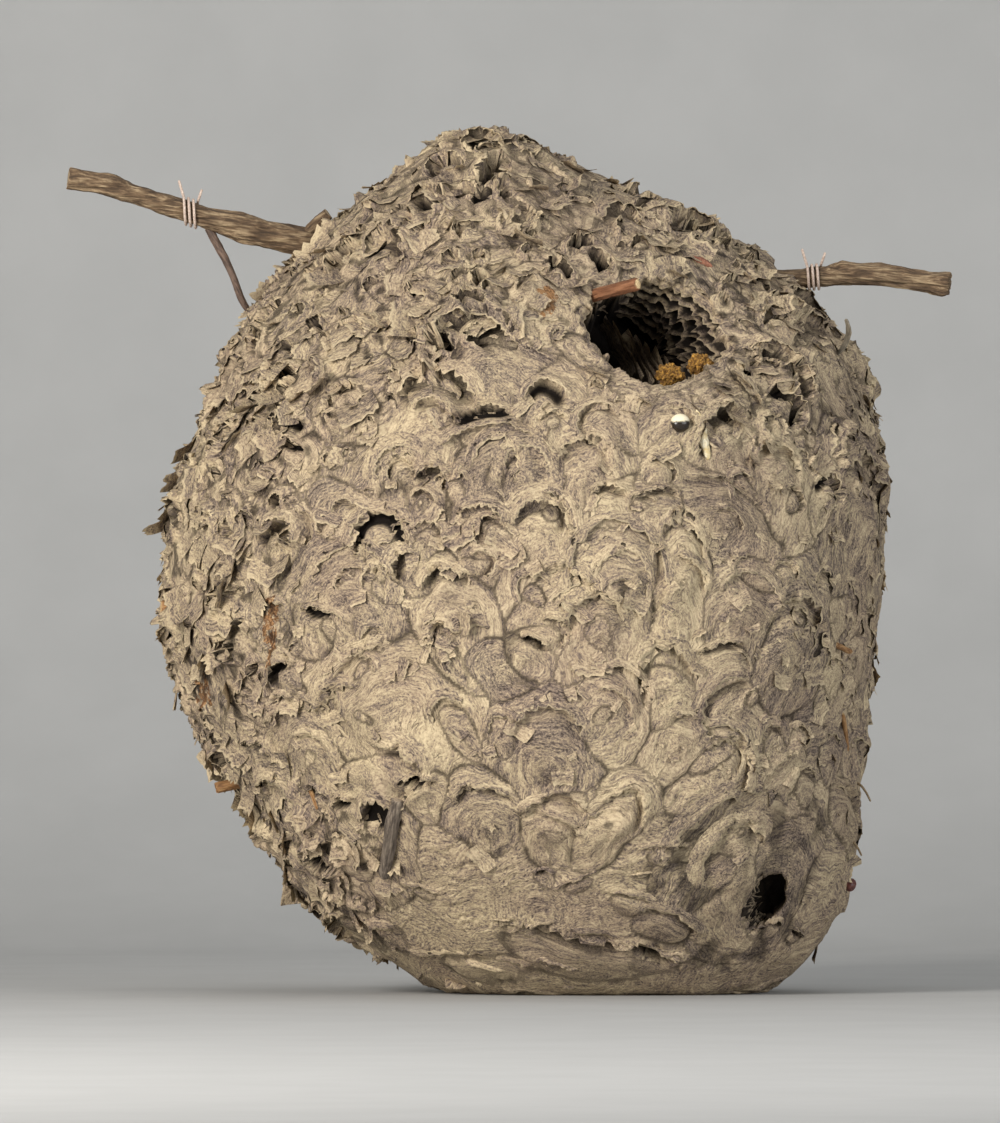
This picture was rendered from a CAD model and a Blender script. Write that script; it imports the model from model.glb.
"""The looks of a hornets' paper nest built round a cut branch.

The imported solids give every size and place. The paper is made in three layers of relief: a smooth body read
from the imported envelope, the arched hoods that the insects built over one another, and the small torn pockets
and flakes. Wood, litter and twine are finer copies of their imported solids. Metres, +Z up, front towards -Y.
"""
import logging
import math
from dataclasses import dataclass, field, fields
from enum import Enum

import bmesh
import bpy
import numpy as np
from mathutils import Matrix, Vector
from mathutils.bvhtree import BVHTree


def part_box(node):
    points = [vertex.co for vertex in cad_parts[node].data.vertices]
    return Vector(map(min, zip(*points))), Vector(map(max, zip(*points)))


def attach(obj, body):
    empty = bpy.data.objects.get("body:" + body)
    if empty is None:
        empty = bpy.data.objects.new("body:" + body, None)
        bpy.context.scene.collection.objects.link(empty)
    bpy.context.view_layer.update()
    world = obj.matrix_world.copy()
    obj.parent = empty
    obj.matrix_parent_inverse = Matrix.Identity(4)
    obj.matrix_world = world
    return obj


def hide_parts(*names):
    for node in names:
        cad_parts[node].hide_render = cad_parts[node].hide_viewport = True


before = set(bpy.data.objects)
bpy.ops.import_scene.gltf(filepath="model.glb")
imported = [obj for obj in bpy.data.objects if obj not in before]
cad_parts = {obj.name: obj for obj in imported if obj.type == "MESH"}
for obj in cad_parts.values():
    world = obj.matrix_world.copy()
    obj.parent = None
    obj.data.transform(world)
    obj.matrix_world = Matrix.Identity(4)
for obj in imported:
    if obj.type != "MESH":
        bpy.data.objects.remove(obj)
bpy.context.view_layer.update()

BAKE_UV = "OFBake"
FLOOR_GAP = 0.0003
LOG = logging.getLogger("nest")


# ------------------------------------------------------------------------------------------- number helpers

def smooth(low: float, high: float, value: np.ndarray) -> np.ndarray:
    """Ease from 0 at low to 1 at high.

    Args:
        low: where the result leaves 0.
        high: where it reaches 1; it may be below low.
        value: the numbers to ease.

    Returns:
        Numbers from 0 to 1, in the shape of value.
    """
    share = np.clip((value - low) / (high - low), 0.0, 1.0)
    return share * share * (3.0 - 2.0 * share)


def unit(vectors: np.ndarray) -> np.ndarray:
    """The vectors scaled to length 1."""
    return vectors / np.maximum(np.linalg.norm(vectors, axis=-1, keepdims=True), 1e-12)


class Noise:
    """Gradient noise on arrays of points, the same in every run."""

    def __init__(self, seed: int) -> None:
        """Fill the lattice tables.

        Args:
            seed: picks the pattern.
        """
        rng = np.random.default_rng(seed)
        table = rng.permutation(256)
        self._table = np.concatenate([table, table, table[:2]])
        self._slopes = unit(rng.normal(size=(256, 3)))

    def __call__(self, points: np.ndarray) -> np.ndarray:
        """Noise at the points.

        Args:
            points: an array whose last axis is x, y, z in lattice cells.

        Returns:
            About -1 to 1, one for each point.
        """
        base = np.floor(points).astype(int)
        inside = points - base
        fade = inside * inside * inside * (inside * (inside * 6.0 - 15.0) + 10.0)
        base &= 255
        total = np.zeros(points.shape[:-1])
        for corner in range(8):
            step = np.array([corner & 1, corner >> 1 & 1, corner >> 2 & 1])
            cell = base + step
            hashed = self._table[self._table[self._table[cell[..., 0]] + cell[..., 1]] + cell[..., 2]]
            slope = np.einsum("...i,...i->...", self._slopes[hashed], inside - step)
            total += slope * np.prod(np.where(step, fade, 1.0 - fade), axis=-1)
        return total * 1.6

    def layered(self, points: np.ndarray, octaves: int = 3) -> np.ndarray:
        """Several octaves of the noise.

        Args:
            points: an array whose last axis is x, y, z in cells of the coarsest octave.
            octaves: how many octaves are added.

        Returns:
            About -1 to 1, one for each point.
        """
        total = np.zeros(points.shape[:-1])
        for octave in range(octaves):
            total += self(points * 2.0 ** octave + 17.3 * octave) * 0.5 ** octave
        return total / (2.0 - 2.0 ** (1 - octaves))


NOISE = Noise(7)


# --------------------------------------------------------------------------------------------- mesh helpers

@dataclass
class GridBatch:
    """Many grids of points of one size that become one mesh.

    Attributes:
        points: the points, shaped (grids, rows, columns, 3).
        masks: named numbers on the points, each shaped (grids, rows, columns).
    """

    points: np.ndarray
    masks: dict[str, np.ndarray] = field(default_factory=dict)

    def chart(self) -> np.ndarray:
        """Lay the grids out side by side.

        Returns:
            Chart coordinates from 0 to 1, shaped (grids, rows, columns, 2).
        """
        grids, rows, columns = self.points.shape[:3]
        across = math.ceil(math.sqrt(grids))
        index = np.arange(grids)
        margin = 0.04
        u = np.linspace(margin, 1.0 - margin, columns)
        v = np.linspace(margin, 1.0 - margin, rows)
        chart = np.empty((grids, rows, columns, 2))
        chart[..., 0] = ((index % across)[:, None, None] + u[None, None, :]) / across
        chart[..., 1] = ((index // across)[:, None, None] + v[None, :, None]) / across
        return chart

    def corners(self) -> np.ndarray:
        """The four corners of each face, as point numbers, shaped (faces, 4)."""
        grids, rows, columns = self.points.shape[:3]
        numbers = np.arange(grids * rows * columns).reshape(grids, rows, columns)
        loops = np.stack([numbers[:, :-1, :-1], numbers[:, :-1, 1:], numbers[:, 1:, 1:], numbers[:, 1:, :-1]], axis=-1)
        return loops.reshape(-1, 4)


def mesh_from_arrays(name: str, points: np.ndarray, corners: np.ndarray, masks: dict[str, np.ndarray],
                     chart: np.ndarray | None = None) -> bpy.types.Mesh:
    """Make a mesh from whole arrays.

    Args:
        name: the mesh's name.
        points: (points, 3).
        corners: (faces, 4) point numbers.
        masks: named numbers on the points.
        chart: (faces, 4, 2) chart coordinates.

    Returns:
        The new mesh, shaded smooth.
    """
    mesh = bpy.data.meshes.new(name)
    mesh.vertices.add(len(points))
    mesh.vertices.foreach_set("co", points.astype(np.float32).ravel())
    mesh.loops.add(corners.size)
    mesh.loops.foreach_set("vertex_index", corners.astype(np.int32).ravel())
    mesh.polygons.add(len(corners))
    mesh.polygons.foreach_set("loop_start", np.arange(0, corners.size, 4, dtype=np.int32))
    mesh.update(calc_edges=True)
    for mask, numbers in masks.items():
        layer = mesh.attributes.new(mask, "FLOAT", "POINT")
        layer.data.foreach_set("value", numbers.astype(np.float32).ravel())
    if chart is not None:
        layer = mesh.uv_layers.new(name=BAKE_UV)
        layer.data.foreach_set("uv", chart.astype(np.float32).ravel())
    mesh.shade_smooth()
    return mesh


def mesh_from_batch(name: str, batch: GridBatch) -> bpy.types.Mesh:
    """Make one mesh of all the grids in a batch.

    Args:
        name: the mesh's name.
        batch: the grids.

    Returns:
        The new mesh, with its chart.
    """
    corners = batch.corners()
    chart = batch.chart().reshape(-1, 2)[corners]
    masks = {mask: np.broadcast_to(numbers, batch.points.shape[:3]) for mask, numbers in batch.masks.items()}
    return mesh_from_arrays(name, batch.points.reshape(-1, 3), corners, masks, chart)


def add_piece(name: str, mesh: bpy.types.Mesh, material: bpy.types.Material,
              replaced: tuple[str, ...] = ()) -> bpy.types.Object:
    """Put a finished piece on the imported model.

    Args:
        name: the piece's name.
        mesh: its mesh, in the frame's metres.
        material: its finish.
        replaced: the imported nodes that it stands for.

    Returns:
        The new object.
    """
    mesh.materials.clear()
    mesh.materials.append(material)
    piece = bpy.data.objects.new(name, mesh)
    bpy.context.scene.collection.objects.link(piece)
    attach(piece, "root")
    if replaced:
        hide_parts(*replaced)
    LOG.info("%s: %d points, %d faces", name, len(mesh.vertices), len(mesh.polygons))
    return piece


# ------------------------------------------------------------------------------------------- shader helpers

class Graph:
    """Adds nodes to one tree and links them."""

    def __init__(self, tree: bpy.types.NodeTree) -> None:
        """Keep the tree.

        Args:
            tree: a material's or a group's tree.
        """
        self.tree = tree

    def add(self, kind: str, inputs: dict[str | int, object] | None = None, **settings: object) -> bpy.types.Node:
        """Add one node.

        Args:
            kind: the node's type name.
            inputs: a value or a socket for each named input.
            settings: the node's own settings.

        Returns:
            The new node.
        """
        node = self.tree.nodes.new(kind)
        for setting, value in settings.items():
            setattr(node, setting, value)
        for name, value in (inputs or {}).items():
            if isinstance(value, bpy.types.NodeSocket):
                self.tree.links.new(value, node.inputs[name])
            else:
                node.inputs[name].default_value = value
        return node

    def math(self, operation: str, *values: object) -> bpy.types.NodeSocket:
        """One step of arithmetic.

        Args:
            operation: a Math node's operation.
            values: numbers or sockets, in order.

        Returns:
            The result's socket.
        """
        return self.add("ShaderNodeMath", dict(enumerate(values)), operation=operation).outputs[0]

    def mask(self, name: str) -> bpy.types.NodeSocket:
        """A number stored on the mesh."""
        return self.add("ShaderNodeAttribute", attribute_name=name).outputs["Fac"]

    def vector(self, x: object, y: object, z: object) -> bpy.types.NodeSocket:
        """Three numbers as one vector."""
        return self.add("ShaderNodeCombineXYZ", {"X": x, "Y": y, "Z": z}).outputs[0]

    def noise(self, vector: object, scale: float, detail: float = 3.0, roughness: float = 0.55,
              distortion: float = 0.0) -> bpy.types.NodeSocket:
        """A noise texture's value.

        Args:
            vector: where it is read.
            scale: cells in a unit of the vector.
            detail: octaves beyond the first.
            roughness: how much the finer octaves weigh.
            distortion: how far it is bent.

        Returns:
            The noise's socket, about 0 to 1.
        """
        inputs = {"Vector": vector, "Scale": scale, "Detail": detail, "Roughness": roughness,
                  "Distortion": distortion}
        return self.add("ShaderNodeTexNoise", inputs).outputs[0]

    def span(self, value: object, low: float, high: float, to_low: float = 0.0,
             to_high: float = 1.0) -> bpy.types.NodeSocket:
        """Ease a value from one range to another, clamped.

        Args:
            value: the value's socket.
            low: where the result is to_low.
            high: where it is to_high.
            to_low: the result at low.
            to_high: the result at high.

        Returns:
            The result's socket.
        """
        inputs = {"Value": value, "From Min": low, "From Max": high, "To Min": to_low, "To Max": to_high}
        return self.add("ShaderNodeMapRange", inputs, interpolation_type="SMOOTHSTEP").outputs[0]

    def blend(self, share: object, first: object, second: object, kind: str = "MIX") -> bpy.types.NodeSocket:
        """Mix two colours.

        Args:
            share: how much of the second shows.
            first: a colour or a socket.
            second: a colour or a socket.
            kind: the blend type.

        Returns:
            The mixed colour's socket.
        """
        inputs = {0: share, 6: first, 7: second}
        return self.add("ShaderNodeMix", inputs, data_type="RGBA", blend_type=kind).outputs[2]

    def ramp(self, value: object, stops: list[tuple[float, tuple[float, float, float]]]) -> bpy.types.NodeSocket:
        """Turn a value into a colour.

        Args:
            value: the value's socket.
            stops: places from 0 to 1 and their colours.

        Returns:
            The colour's socket.
        """
        node = self.add("ShaderNodeValToRGB", {"Fac": value})
        elements = node.color_ramp.elements
        while len(elements) < len(stops):
            elements.new(0.5)
        for element, (place, colour) in zip(elements, stops):
            element.position = place
            element.color = (*colour, 1.0)
        return node.outputs["Color"]


def group(name: str, inputs: dict[str, float], outputs: dict[str, str]) -> tuple[bpy.types.NodeTree, Graph, dict]:
    """Start a shader node group.

    Args:
        name: the group's name.
        inputs: float inputs and their values; a name that ends in "place" is a vector.
        outputs: names and socket types.

    Returns:
        The tree, a graph on it and the group input's sockets by name.
    """
    tree = bpy.data.node_groups.new(name, "ShaderNodeTree")
    for label, value in inputs.items():
        kind = "NodeSocketVector" if label.endswith("place") else "NodeSocketFloat"
        socket = tree.interface.new_socket(label, in_out="INPUT", socket_type=kind)
        if kind == "NodeSocketFloat":
            socket.default_value = value
    for label, kind in outputs.items():
        tree.interface.new_socket(label, in_out="OUTPUT", socket_type=kind)
    graph = Graph(tree)
    entry = graph.add("NodeGroupInput")
    return tree, graph, {label: entry.outputs[label] for label in inputs}


class Effects:
    """The shader groups that several finishes share, each built once."""

    def __init__(self) -> None:
        """Build the groups."""
        self.fibres = self._fibres()
        self.grime = self._grime()
        self.edge_wear = self._edge_wear()

    @staticmethod
    def _fibres() -> bpy.types.NodeTree:
        """Streaks of pulp or grain that run along a direction.

        Returns:
            A group from three directions in metres and a seed to Broad, Fine and Fleck masks.
        """
        tree, graph, given = group(
            "fibre_streaks", {"Across": 0.0, "Along": 0.0, "Third": 0.0, "Seed": 0.0, "Broad width": 0.0046,
                              "Fine width": 0.0009, "Stretch": 6.0},
            {"Broad": "NodeSocketFloat", "Fine": "NodeSocketFloat", "Fleck": "NodeSocketFloat"})
        results = {}
        for label, full, share, stretch, detail in (("Broad", given["Broad width"], 1.0, 1.5, 3.0),
                                                    ("Fine", given["Fine width"], 1.0, 1.3, 3.0),
                                                    ("Fleck", given["Fine width"], 0.72, 0.5, 3.0)):
            width = graph.math("MULTIPLY", full, share)
            across = graph.math("DIVIDE", given["Across"], width)
            along = graph.math("DIVIDE", given["Along"], graph.math(
                "MULTIPLY", width, graph.math("MULTIPLY", given["Stretch"], stretch)))
            third = graph.math("ADD", graph.math("DIVIDE", given["Third"], width),
                               graph.math("MULTIPLY", given["Seed"], 37.0 + 11.0 * stretch))
            results[label] = graph.noise(graph.vector(across, along, third), 1.0, detail, 0.6, 0.35)
        graph.add("NodeGroupOutput", results)
        return tree

    @staticmethod
    def _grime() -> bpy.types.NodeTree:
        """Patches of dust and age in the object's own space.

        Returns:
            A group from a place and a Patch size to Patches and Specks masks.
        """
        tree, graph, given = group("grime", {"Grime place": 0.0, "Patch size": 0.03},
                                   {"Patches": "NodeSocketFloat", "Specks": "NodeSocketFloat"})
        cells = graph.add("ShaderNodeVectorMath", {0: given["Grime place"]}, operation="SCALE")
        graph.tree.links.new(graph.math("DIVIDE", 1.0, given["Patch size"]), cells.inputs["Scale"])
        patches = graph.noise(cells.outputs[0], 1.0, 4.0, 0.6, 0.6)
        specks = graph.noise(cells.outputs[0], 34.0, 2.0, 0.6)
        graph.add("NodeGroupOutput", {"Patches": graph.span(patches, 0.35, 0.68),
                                      "Specks": graph.span(specks, 0.66, 0.78)})
        return tree

    @staticmethod
    def _edge_wear() -> bpy.types.NodeTree:
        """Break an edge mask up, so that worn rims look torn.

        Returns:
            A group from Edge, a place and Scale to a Worn mask.
        """
        tree, graph, given = group("edge_wear", {"Edge": 0.0, "Wear place": 0.0, "Scale": 260.0},
                                   {"Worn": "NodeSocketFloat"})
        cells = graph.add("ShaderNodeVectorMath", {0: given["Wear place"]}, operation="SCALE")
        graph.tree.links.new(given["Scale"], cells.inputs["Scale"])
        broken = graph.noise(cells.outputs[0], 1.0, 3.0, 0.6)
        shifted = graph.math("ADD", given["Edge"], graph.math("MULTIPLY", graph.math("SUBTRACT", broken, 0.5), 0.9))
        graph.add("NodeGroupOutput", {"Worn": graph.span(shifted, 0.35, 0.85)})
        return tree


def new_material(name: str) -> tuple[bpy.types.Material, Graph, bpy.types.Node]:
    """Start a material.

    Args:
        name: its name.

    Returns:
        The material, a graph on its tree and its shader.
    """
    material = bpy.data.materials.new(name)
    material.use_nodes = True
    shader = material.node_tree.nodes["Principled BSDF"]
    shader.inputs["Metallic"].default_value = 0.0
    return material, Graph(material.node_tree), shader


# --------------------------------------------------------------------------------------------- the finishes

@dataclass(frozen=True)
class PaperFinish:
    """Wasp paper: streaks of chewed wood laid down in bands, pale torn rims and dark hollows.

    Attributes:
        shadow: the colour of the darkest streaks.
        grey: the colour of the grey-brown streaks.
        tan: the colour of the body.
        cream: the colour of the palest streaks.
        hollow: the colour deep inside a pocket.
        rust: the colour of rotten wood.
        relief: the height of the streaks in metres.
    """

    shadow: tuple[float, float, float] = (0.066, 0.050, 0.039)
    grey: tuple[float, float, float] = (0.205, 0.162, 0.128)
    tan: tuple[float, float, float] = (0.385, 0.300, 0.192)
    cream: tuple[float, float, float] = (0.625, 0.512, 0.325)
    hollow: tuple[float, float, float] = (0.010, 0.007, 0.005)
    rust: tuple[float, float, float] = (0.100, 0.040, 0.012)
    relief: float = 0.0010

    def _streaks(self, graph: Graph, effects: Effects, place: bpy.types.NodeSocket) -> tuple:
        """Work out the streaks.

        Args:
            graph: the material's graph.
            effects: the shared groups.
            place: the object's own coordinates.

        Returns:
            The streaks from dark to pale, their height, and the thin lines between layers.
        """
        wobble = graph.noise(place, 70.0, 3.0, 0.6)
        shift = graph.math("MULTIPLY", graph.math("SUBTRACT", wobble, 0.5), 0.0060)
        fibres = graph.add("ShaderNodeGroup", node_tree=effects.fibres)
        graph.tree.links.new(graph.math("ADD", graph.mask("band"), shift), fibres.inputs["Across"])
        graph.tree.links.new(graph.mask("along"), fibres.inputs["Along"])
        graph.tree.links.new(graph.mask("tone"), fibres.inputs["Seed"])
        broad, fine, fleck = (fibres.outputs[label] for label in ("Broad", "Fine", "Fleck"))
        streak = graph.math("ADD", graph.math("MULTIPLY", broad, 0.30), graph.math("MULTIPLY", fine, 0.28))
        felt = graph.noise(place, 900.0, 4.0, 0.7)
        streak = graph.math("ADD", streak, graph.math("MULTIPLY", fleck, 0.34))
        streak = graph.math("ADD", streak, graph.math("MULTIPLY", felt, 0.34))
        tone = graph.math("MULTIPLY", graph.math("SUBTRACT", graph.mask("tone"), 0.5), 0.06)
        streak = graph.span(graph.math("ADD", streak, tone), 0.478, 0.772)
        nearness = graph.math("ABSOLUTE", graph.math("SUBTRACT", broad, 0.53))
        lines = graph.math("MULTIPLY", graph.span(nearness, 0.0, 0.012, 1.0, 0.0),
                           graph.span(graph.noise(place, 55.0, 2.0), 0.52, 0.64))
        height = graph.math("ADD", graph.math("MULTIPLY", fine, 0.6), graph.math("MULTIPLY", fleck, 0.5))
        height = graph.math("ADD", height, graph.math("MULTIPLY", broad, 0.7))
        height = graph.math("SUBTRACT", height, graph.math("MULTIPLY", lines, 0.35))
        return streak, height, lines

    def material(self, effects: Effects) -> bpy.types.Material:
        """Build the material.

        Args:
            effects: the shared groups.

        Returns:
            The new material.
        """
        material, graph, shader = new_material("wasp_paper")
        place = graph.add("ShaderNodeTexCoord").outputs["Object"]
        streak, height, lines = self._streaks(graph, effects, place)
        grime = graph.add("ShaderNodeGroup", {"Patch size": 0.050}, node_tree=effects.grime)
        wear = graph.add("ShaderNodeGroup", node_tree=effects.edge_wear)
        graph.tree.links.new(place, grime.inputs["Grime place"])
        graph.tree.links.new(place, wear.inputs["Wear place"])
        graph.tree.links.new(graph.mask("edge"), wear.inputs["Edge"])
        colour = graph.ramp(streak, [(0.0, self.shadow), (0.22, self.grey), (0.55, self.tan), (1.0, self.cream)])
        violet = graph.blend(grime.outputs["Patches"], colour, (0.80, 0.76, 0.82, 1.0), "MULTIPLY")
        colour = graph.blend(0.75, colour, violet)
        colour = graph.blend(graph.math("MULTIPLY", wear.outputs["Worn"], 0.55), colour, (*self.cream, 1.0))
        colour = graph.blend(graph.math("MULTIPLY", lines, 0.55), colour, (*self.shadow, 1.0))
        rotten = graph.blend(graph.span(streak, 0.2, 0.8), (*self.rust, 1.0), (0.34, 0.165, 0.060, 1.0))
        crumbs = graph.math("MULTIPLY", graph.math("SUBTRACT", graph.noise(place, 300.0, 4.0, 0.7), 0.5), 3.2)
        core = graph.math("MULTIPLY", graph.mask("rust"), 0.78)
        spread = graph.span(graph.math("ADD", core, crumbs), 0.40, 0.70)
        spread = graph.math("MULTIPLY", spread, graph.span(graph.mask("rust"), 0.0, 0.25))
        colour = graph.blend(graph.math("MULTIPLY", spread, 0.85), colour, rotten)
        colour = graph.blend(graph.mask("recess"), colour, (*self.hollow, 1.0))
        graph.tree.links.new(colour, shader.inputs["Base Color"])
        graph.tree.links.new(graph.span(streak, 0.0, 1.0, 0.98, 0.82), shader.inputs["Roughness"])
        bump = graph.add("ShaderNodeBump", {"Strength": 0.9, "Distance": self.relief, "Height": height})
        graph.tree.links.new(bump.outputs[0], shader.inputs["Normal"])
        shader.inputs["Specular IOR Level"].default_value = 0.2
        return material


@dataclass(frozen=True)
class WoodFinish:
    """Bark or bare wood with lengthwise streaks, and pale cut ends with rings.

    Attributes:
        name: the finish's name.
        dark: the colour in the grooves.
        middle: the body colour.
        light: the colour of the worn ridges.
        cut: the colour of a cut end.
        width: the width of a streak in metres.
        relief: the height of the streaks in metres.
        roughness: how matt it is.
    """

    name: str
    dark: tuple[float, float, float]
    middle: tuple[float, float, float]
    light: tuple[float, float, float]
    cut: tuple[float, float, float]
    width: float = 0.0022
    relief: float = 0.0008
    roughness: float = 0.78

    def material(self, effects: Effects) -> bpy.types.Material:
        """Build the material.

        Args:
            effects: the shared groups.

        Returns:
            The new material.
        """
        material, graph, shader = new_material(self.name)
        fibres = graph.add("ShaderNodeGroup", {"Broad width": self.width, "Fine width": 0.4 * self.width},
                           node_tree=effects.fibres)
        for label, mask in (("Across", "across"), ("Along", "along"), ("Third", "third")):
            graph.tree.links.new(graph.mask(mask), fibres.inputs[label])
        place = graph.add("ShaderNodeTexCoord").outputs["Object"]
        grime = graph.add("ShaderNodeGroup", {"Patch size": 0.012}, node_tree=effects.grime)
        graph.tree.links.new(place, grime.inputs["Grime place"])
        streak = graph.math("ADD", graph.math("MULTIPLY", fibres.outputs["Broad"], 0.65),
                            graph.math("MULTIPLY", fibres.outputs["Fine"], 0.45))
        streak = graph.span(streak, 0.36, 0.74)
        colour = graph.ramp(streak, [(0.0, self.dark), (0.45, self.middle), (1.0, self.light)])
        colour = graph.blend(graph.math("MULTIPLY", grime.outputs["Patches"], 0.45), colour, (*self.dark, 1.0))
        colour = graph.blend(graph.math("MULTIPLY", grime.outputs["Specks"], 0.5), colour, (*self.light, 1.0))
        rings = graph.math("SINE", graph.math("MULTIPLY", graph.mask("ring"), 9000.0))
        end = graph.blend(graph.span(rings, -1.0, 1.0, 0.0, 0.45), (*self.cut, 1.0), (*self.middle, 1.0))
        colour = graph.blend(graph.mask("cut"), colour, end)
        graph.tree.links.new(colour, shader.inputs["Base Color"])
        shader.inputs["Roughness"].default_value = self.roughness
        shader.inputs["Specular IOR Level"].default_value = 0.35
        bump = graph.add("ShaderNodeBump", {"Strength": 0.8, "Distance": self.relief, "Height": streak})
        graph.tree.links.new(bump.outputs[0], shader.inputs["Normal"])
        return material


@dataclass(frozen=True)
class MottledFinish:
    """Two colours in patches: husk, leaf, resin, pulp or twine.

    Attributes:
        name: the finish's name.
        dark: the darker colour.
        light: the lighter colour.
        patch: the size of the patches in metres.
        roughness: how matt it is.
        relief: the height of the patches in metres.
        coat: how much clear gloss lies over it.
    """

    name: str
    dark: tuple[float, float, float]
    light: tuple[float, float, float]
    patch: float = 0.003
    roughness: float = 0.8
    relief: float = 0.0003
    coat: float = 0.0

    def material(self, effects: Effects) -> bpy.types.Material:
        """Build the material.

        Args:
            effects: the shared groups.

        Returns:
            The new material.
        """
        material, graph, shader = new_material(self.name)
        place = graph.add("ShaderNodeTexCoord").outputs["Object"]
        grime = graph.add("ShaderNodeGroup", {"Patch size": self.patch}, node_tree=effects.grime)
        graph.tree.links.new(place, grime.inputs["Grime place"])
        share = graph.math("MAXIMUM", grime.outputs["Patches"], grime.outputs["Specks"])
        graph.tree.links.new(graph.blend(share, (*self.dark, 1.0), (*self.light, 1.0)), shader.inputs["Base Color"])
        shader.inputs["Roughness"].default_value = self.roughness
        shader.inputs["Coat Weight"].default_value = self.coat
        bump = graph.add("ShaderNodeBump", {"Strength": 0.7, "Distance": self.relief, "Height": share})
        graph.tree.links.new(bump.outputs[0], shader.inputs["Normal"])
        return material


@dataclass(frozen=True)
class BeadFinish:
    """A dark glossy bead whose top is covered by a dull pale crust.

    Attributes:
        glass: the colour of the bead.
        crust: the colour of the crust.
    """

    glass: tuple[float, float, float] = (0.020, 0.014, 0.010)
    crust: tuple[float, float, float] = (0.80, 0.72, 0.52)

    def material(self, effects: Effects) -> bpy.types.Material:
        """Build the material.

        Args:
            effects: the shared groups.

        Returns:
            The new material.
        """
        material, graph, shader = new_material("glossy_bead")
        place = graph.add("ShaderNodeTexCoord").outputs["Object"]
        wear = graph.add("ShaderNodeGroup", {"Scale": 420.0}, node_tree=effects.edge_wear)
        graph.tree.links.new(place, wear.inputs["Wear place"])
        graph.tree.links.new(graph.span(graph.mask("rise"), -0.25, 0.55), wear.inputs["Edge"])
        crust = wear.outputs["Worn"]
        graph.tree.links.new(graph.blend(crust, (*self.glass, 1.0), (*self.crust, 1.0)), shader.inputs["Base Color"])
        graph.tree.links.new(graph.span(crust, 0.0, 1.0, 0.12, 0.75), shader.inputs["Roughness"])
        bump = graph.add("ShaderNodeBump", {"Strength": 0.8, "Distance": 0.0005, "Height": crust})
        graph.tree.links.new(bump.outputs[0], shader.inputs["Normal"])
        return material


BARK = WoodFinish("bark", (0.045, 0.028, 0.016), (0.165, 0.105, 0.058), (0.43, 0.32, 0.19), (0.42, 0.32, 0.20))
YOUNG_BARK = WoodFinish("young_bark", (0.035, 0.023, 0.018), (0.105, 0.066, 0.047), (0.21, 0.14, 0.10),
                        (0.78, 0.62, 0.34), 0.0012, 0.0003, 0.6)
WEATHERED = WoodFinish("weathered_twig", (0.055, 0.043, 0.033), (0.17, 0.135, 0.105), (0.34, 0.28, 0.21),
                       (0.34, 0.27, 0.19), 0.0014, 0.0004, 0.85)
RED_SHOOT = WoodFinish("red_shoot", (0.085, 0.033, 0.016), (0.23, 0.095, 0.042), (0.36, 0.17, 0.085),
                      (0.80, 0.62, 0.34))
GOLDEN = WoodFinish("golden_twig", (0.13, 0.060, 0.022), (0.32, 0.165, 0.065), (0.50, 0.30, 0.13),
                    (0.58, 0.40, 0.20), 0.0012, 0.0003, 0.7)
NEEDLE = WoodFinish("needle", (0.14, 0.095, 0.05), (0.30, 0.22, 0.13), (0.44, 0.34, 0.21), (0.3, 0.22, 0.13),
                    0.0006, 0.0001, 0.6)
DRY_LEAF = MottledFinish("dry_leaf", (0.11, 0.095, 0.070), (0.22, 0.19, 0.14), 0.004)
DARK_HUSK = MottledFinish("dark_husk", (0.060, 0.014, 0.012), (0.16, 0.050, 0.035), 0.002, 0.45, coat=0.2)
RED_BARK = MottledFinish("red_bark", (0.17, 0.060, 0.035), (0.36, 0.16, 0.095), 0.002, 0.85, 0.0006)
CREAM_RESIN = MottledFinish("cream_resin", (0.60, 0.46, 0.22), (0.86, 0.79, 0.60), 0.0035, 0.5, 0.0006)
OCHRE_PULP = MottledFinish("ochre_pulp", (0.10, 0.042, 0.008), (0.60, 0.32, 0.06), 0.0016, 0.9, 0.0014)
TWINE = MottledFinish("twine", (0.46, 0.34, 0.27), (0.70, 0.58, 0.49), 0.0009, 0.9, 0.0003)


# ------------------------------------------------------------------------------------- the nest's smooth body

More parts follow.
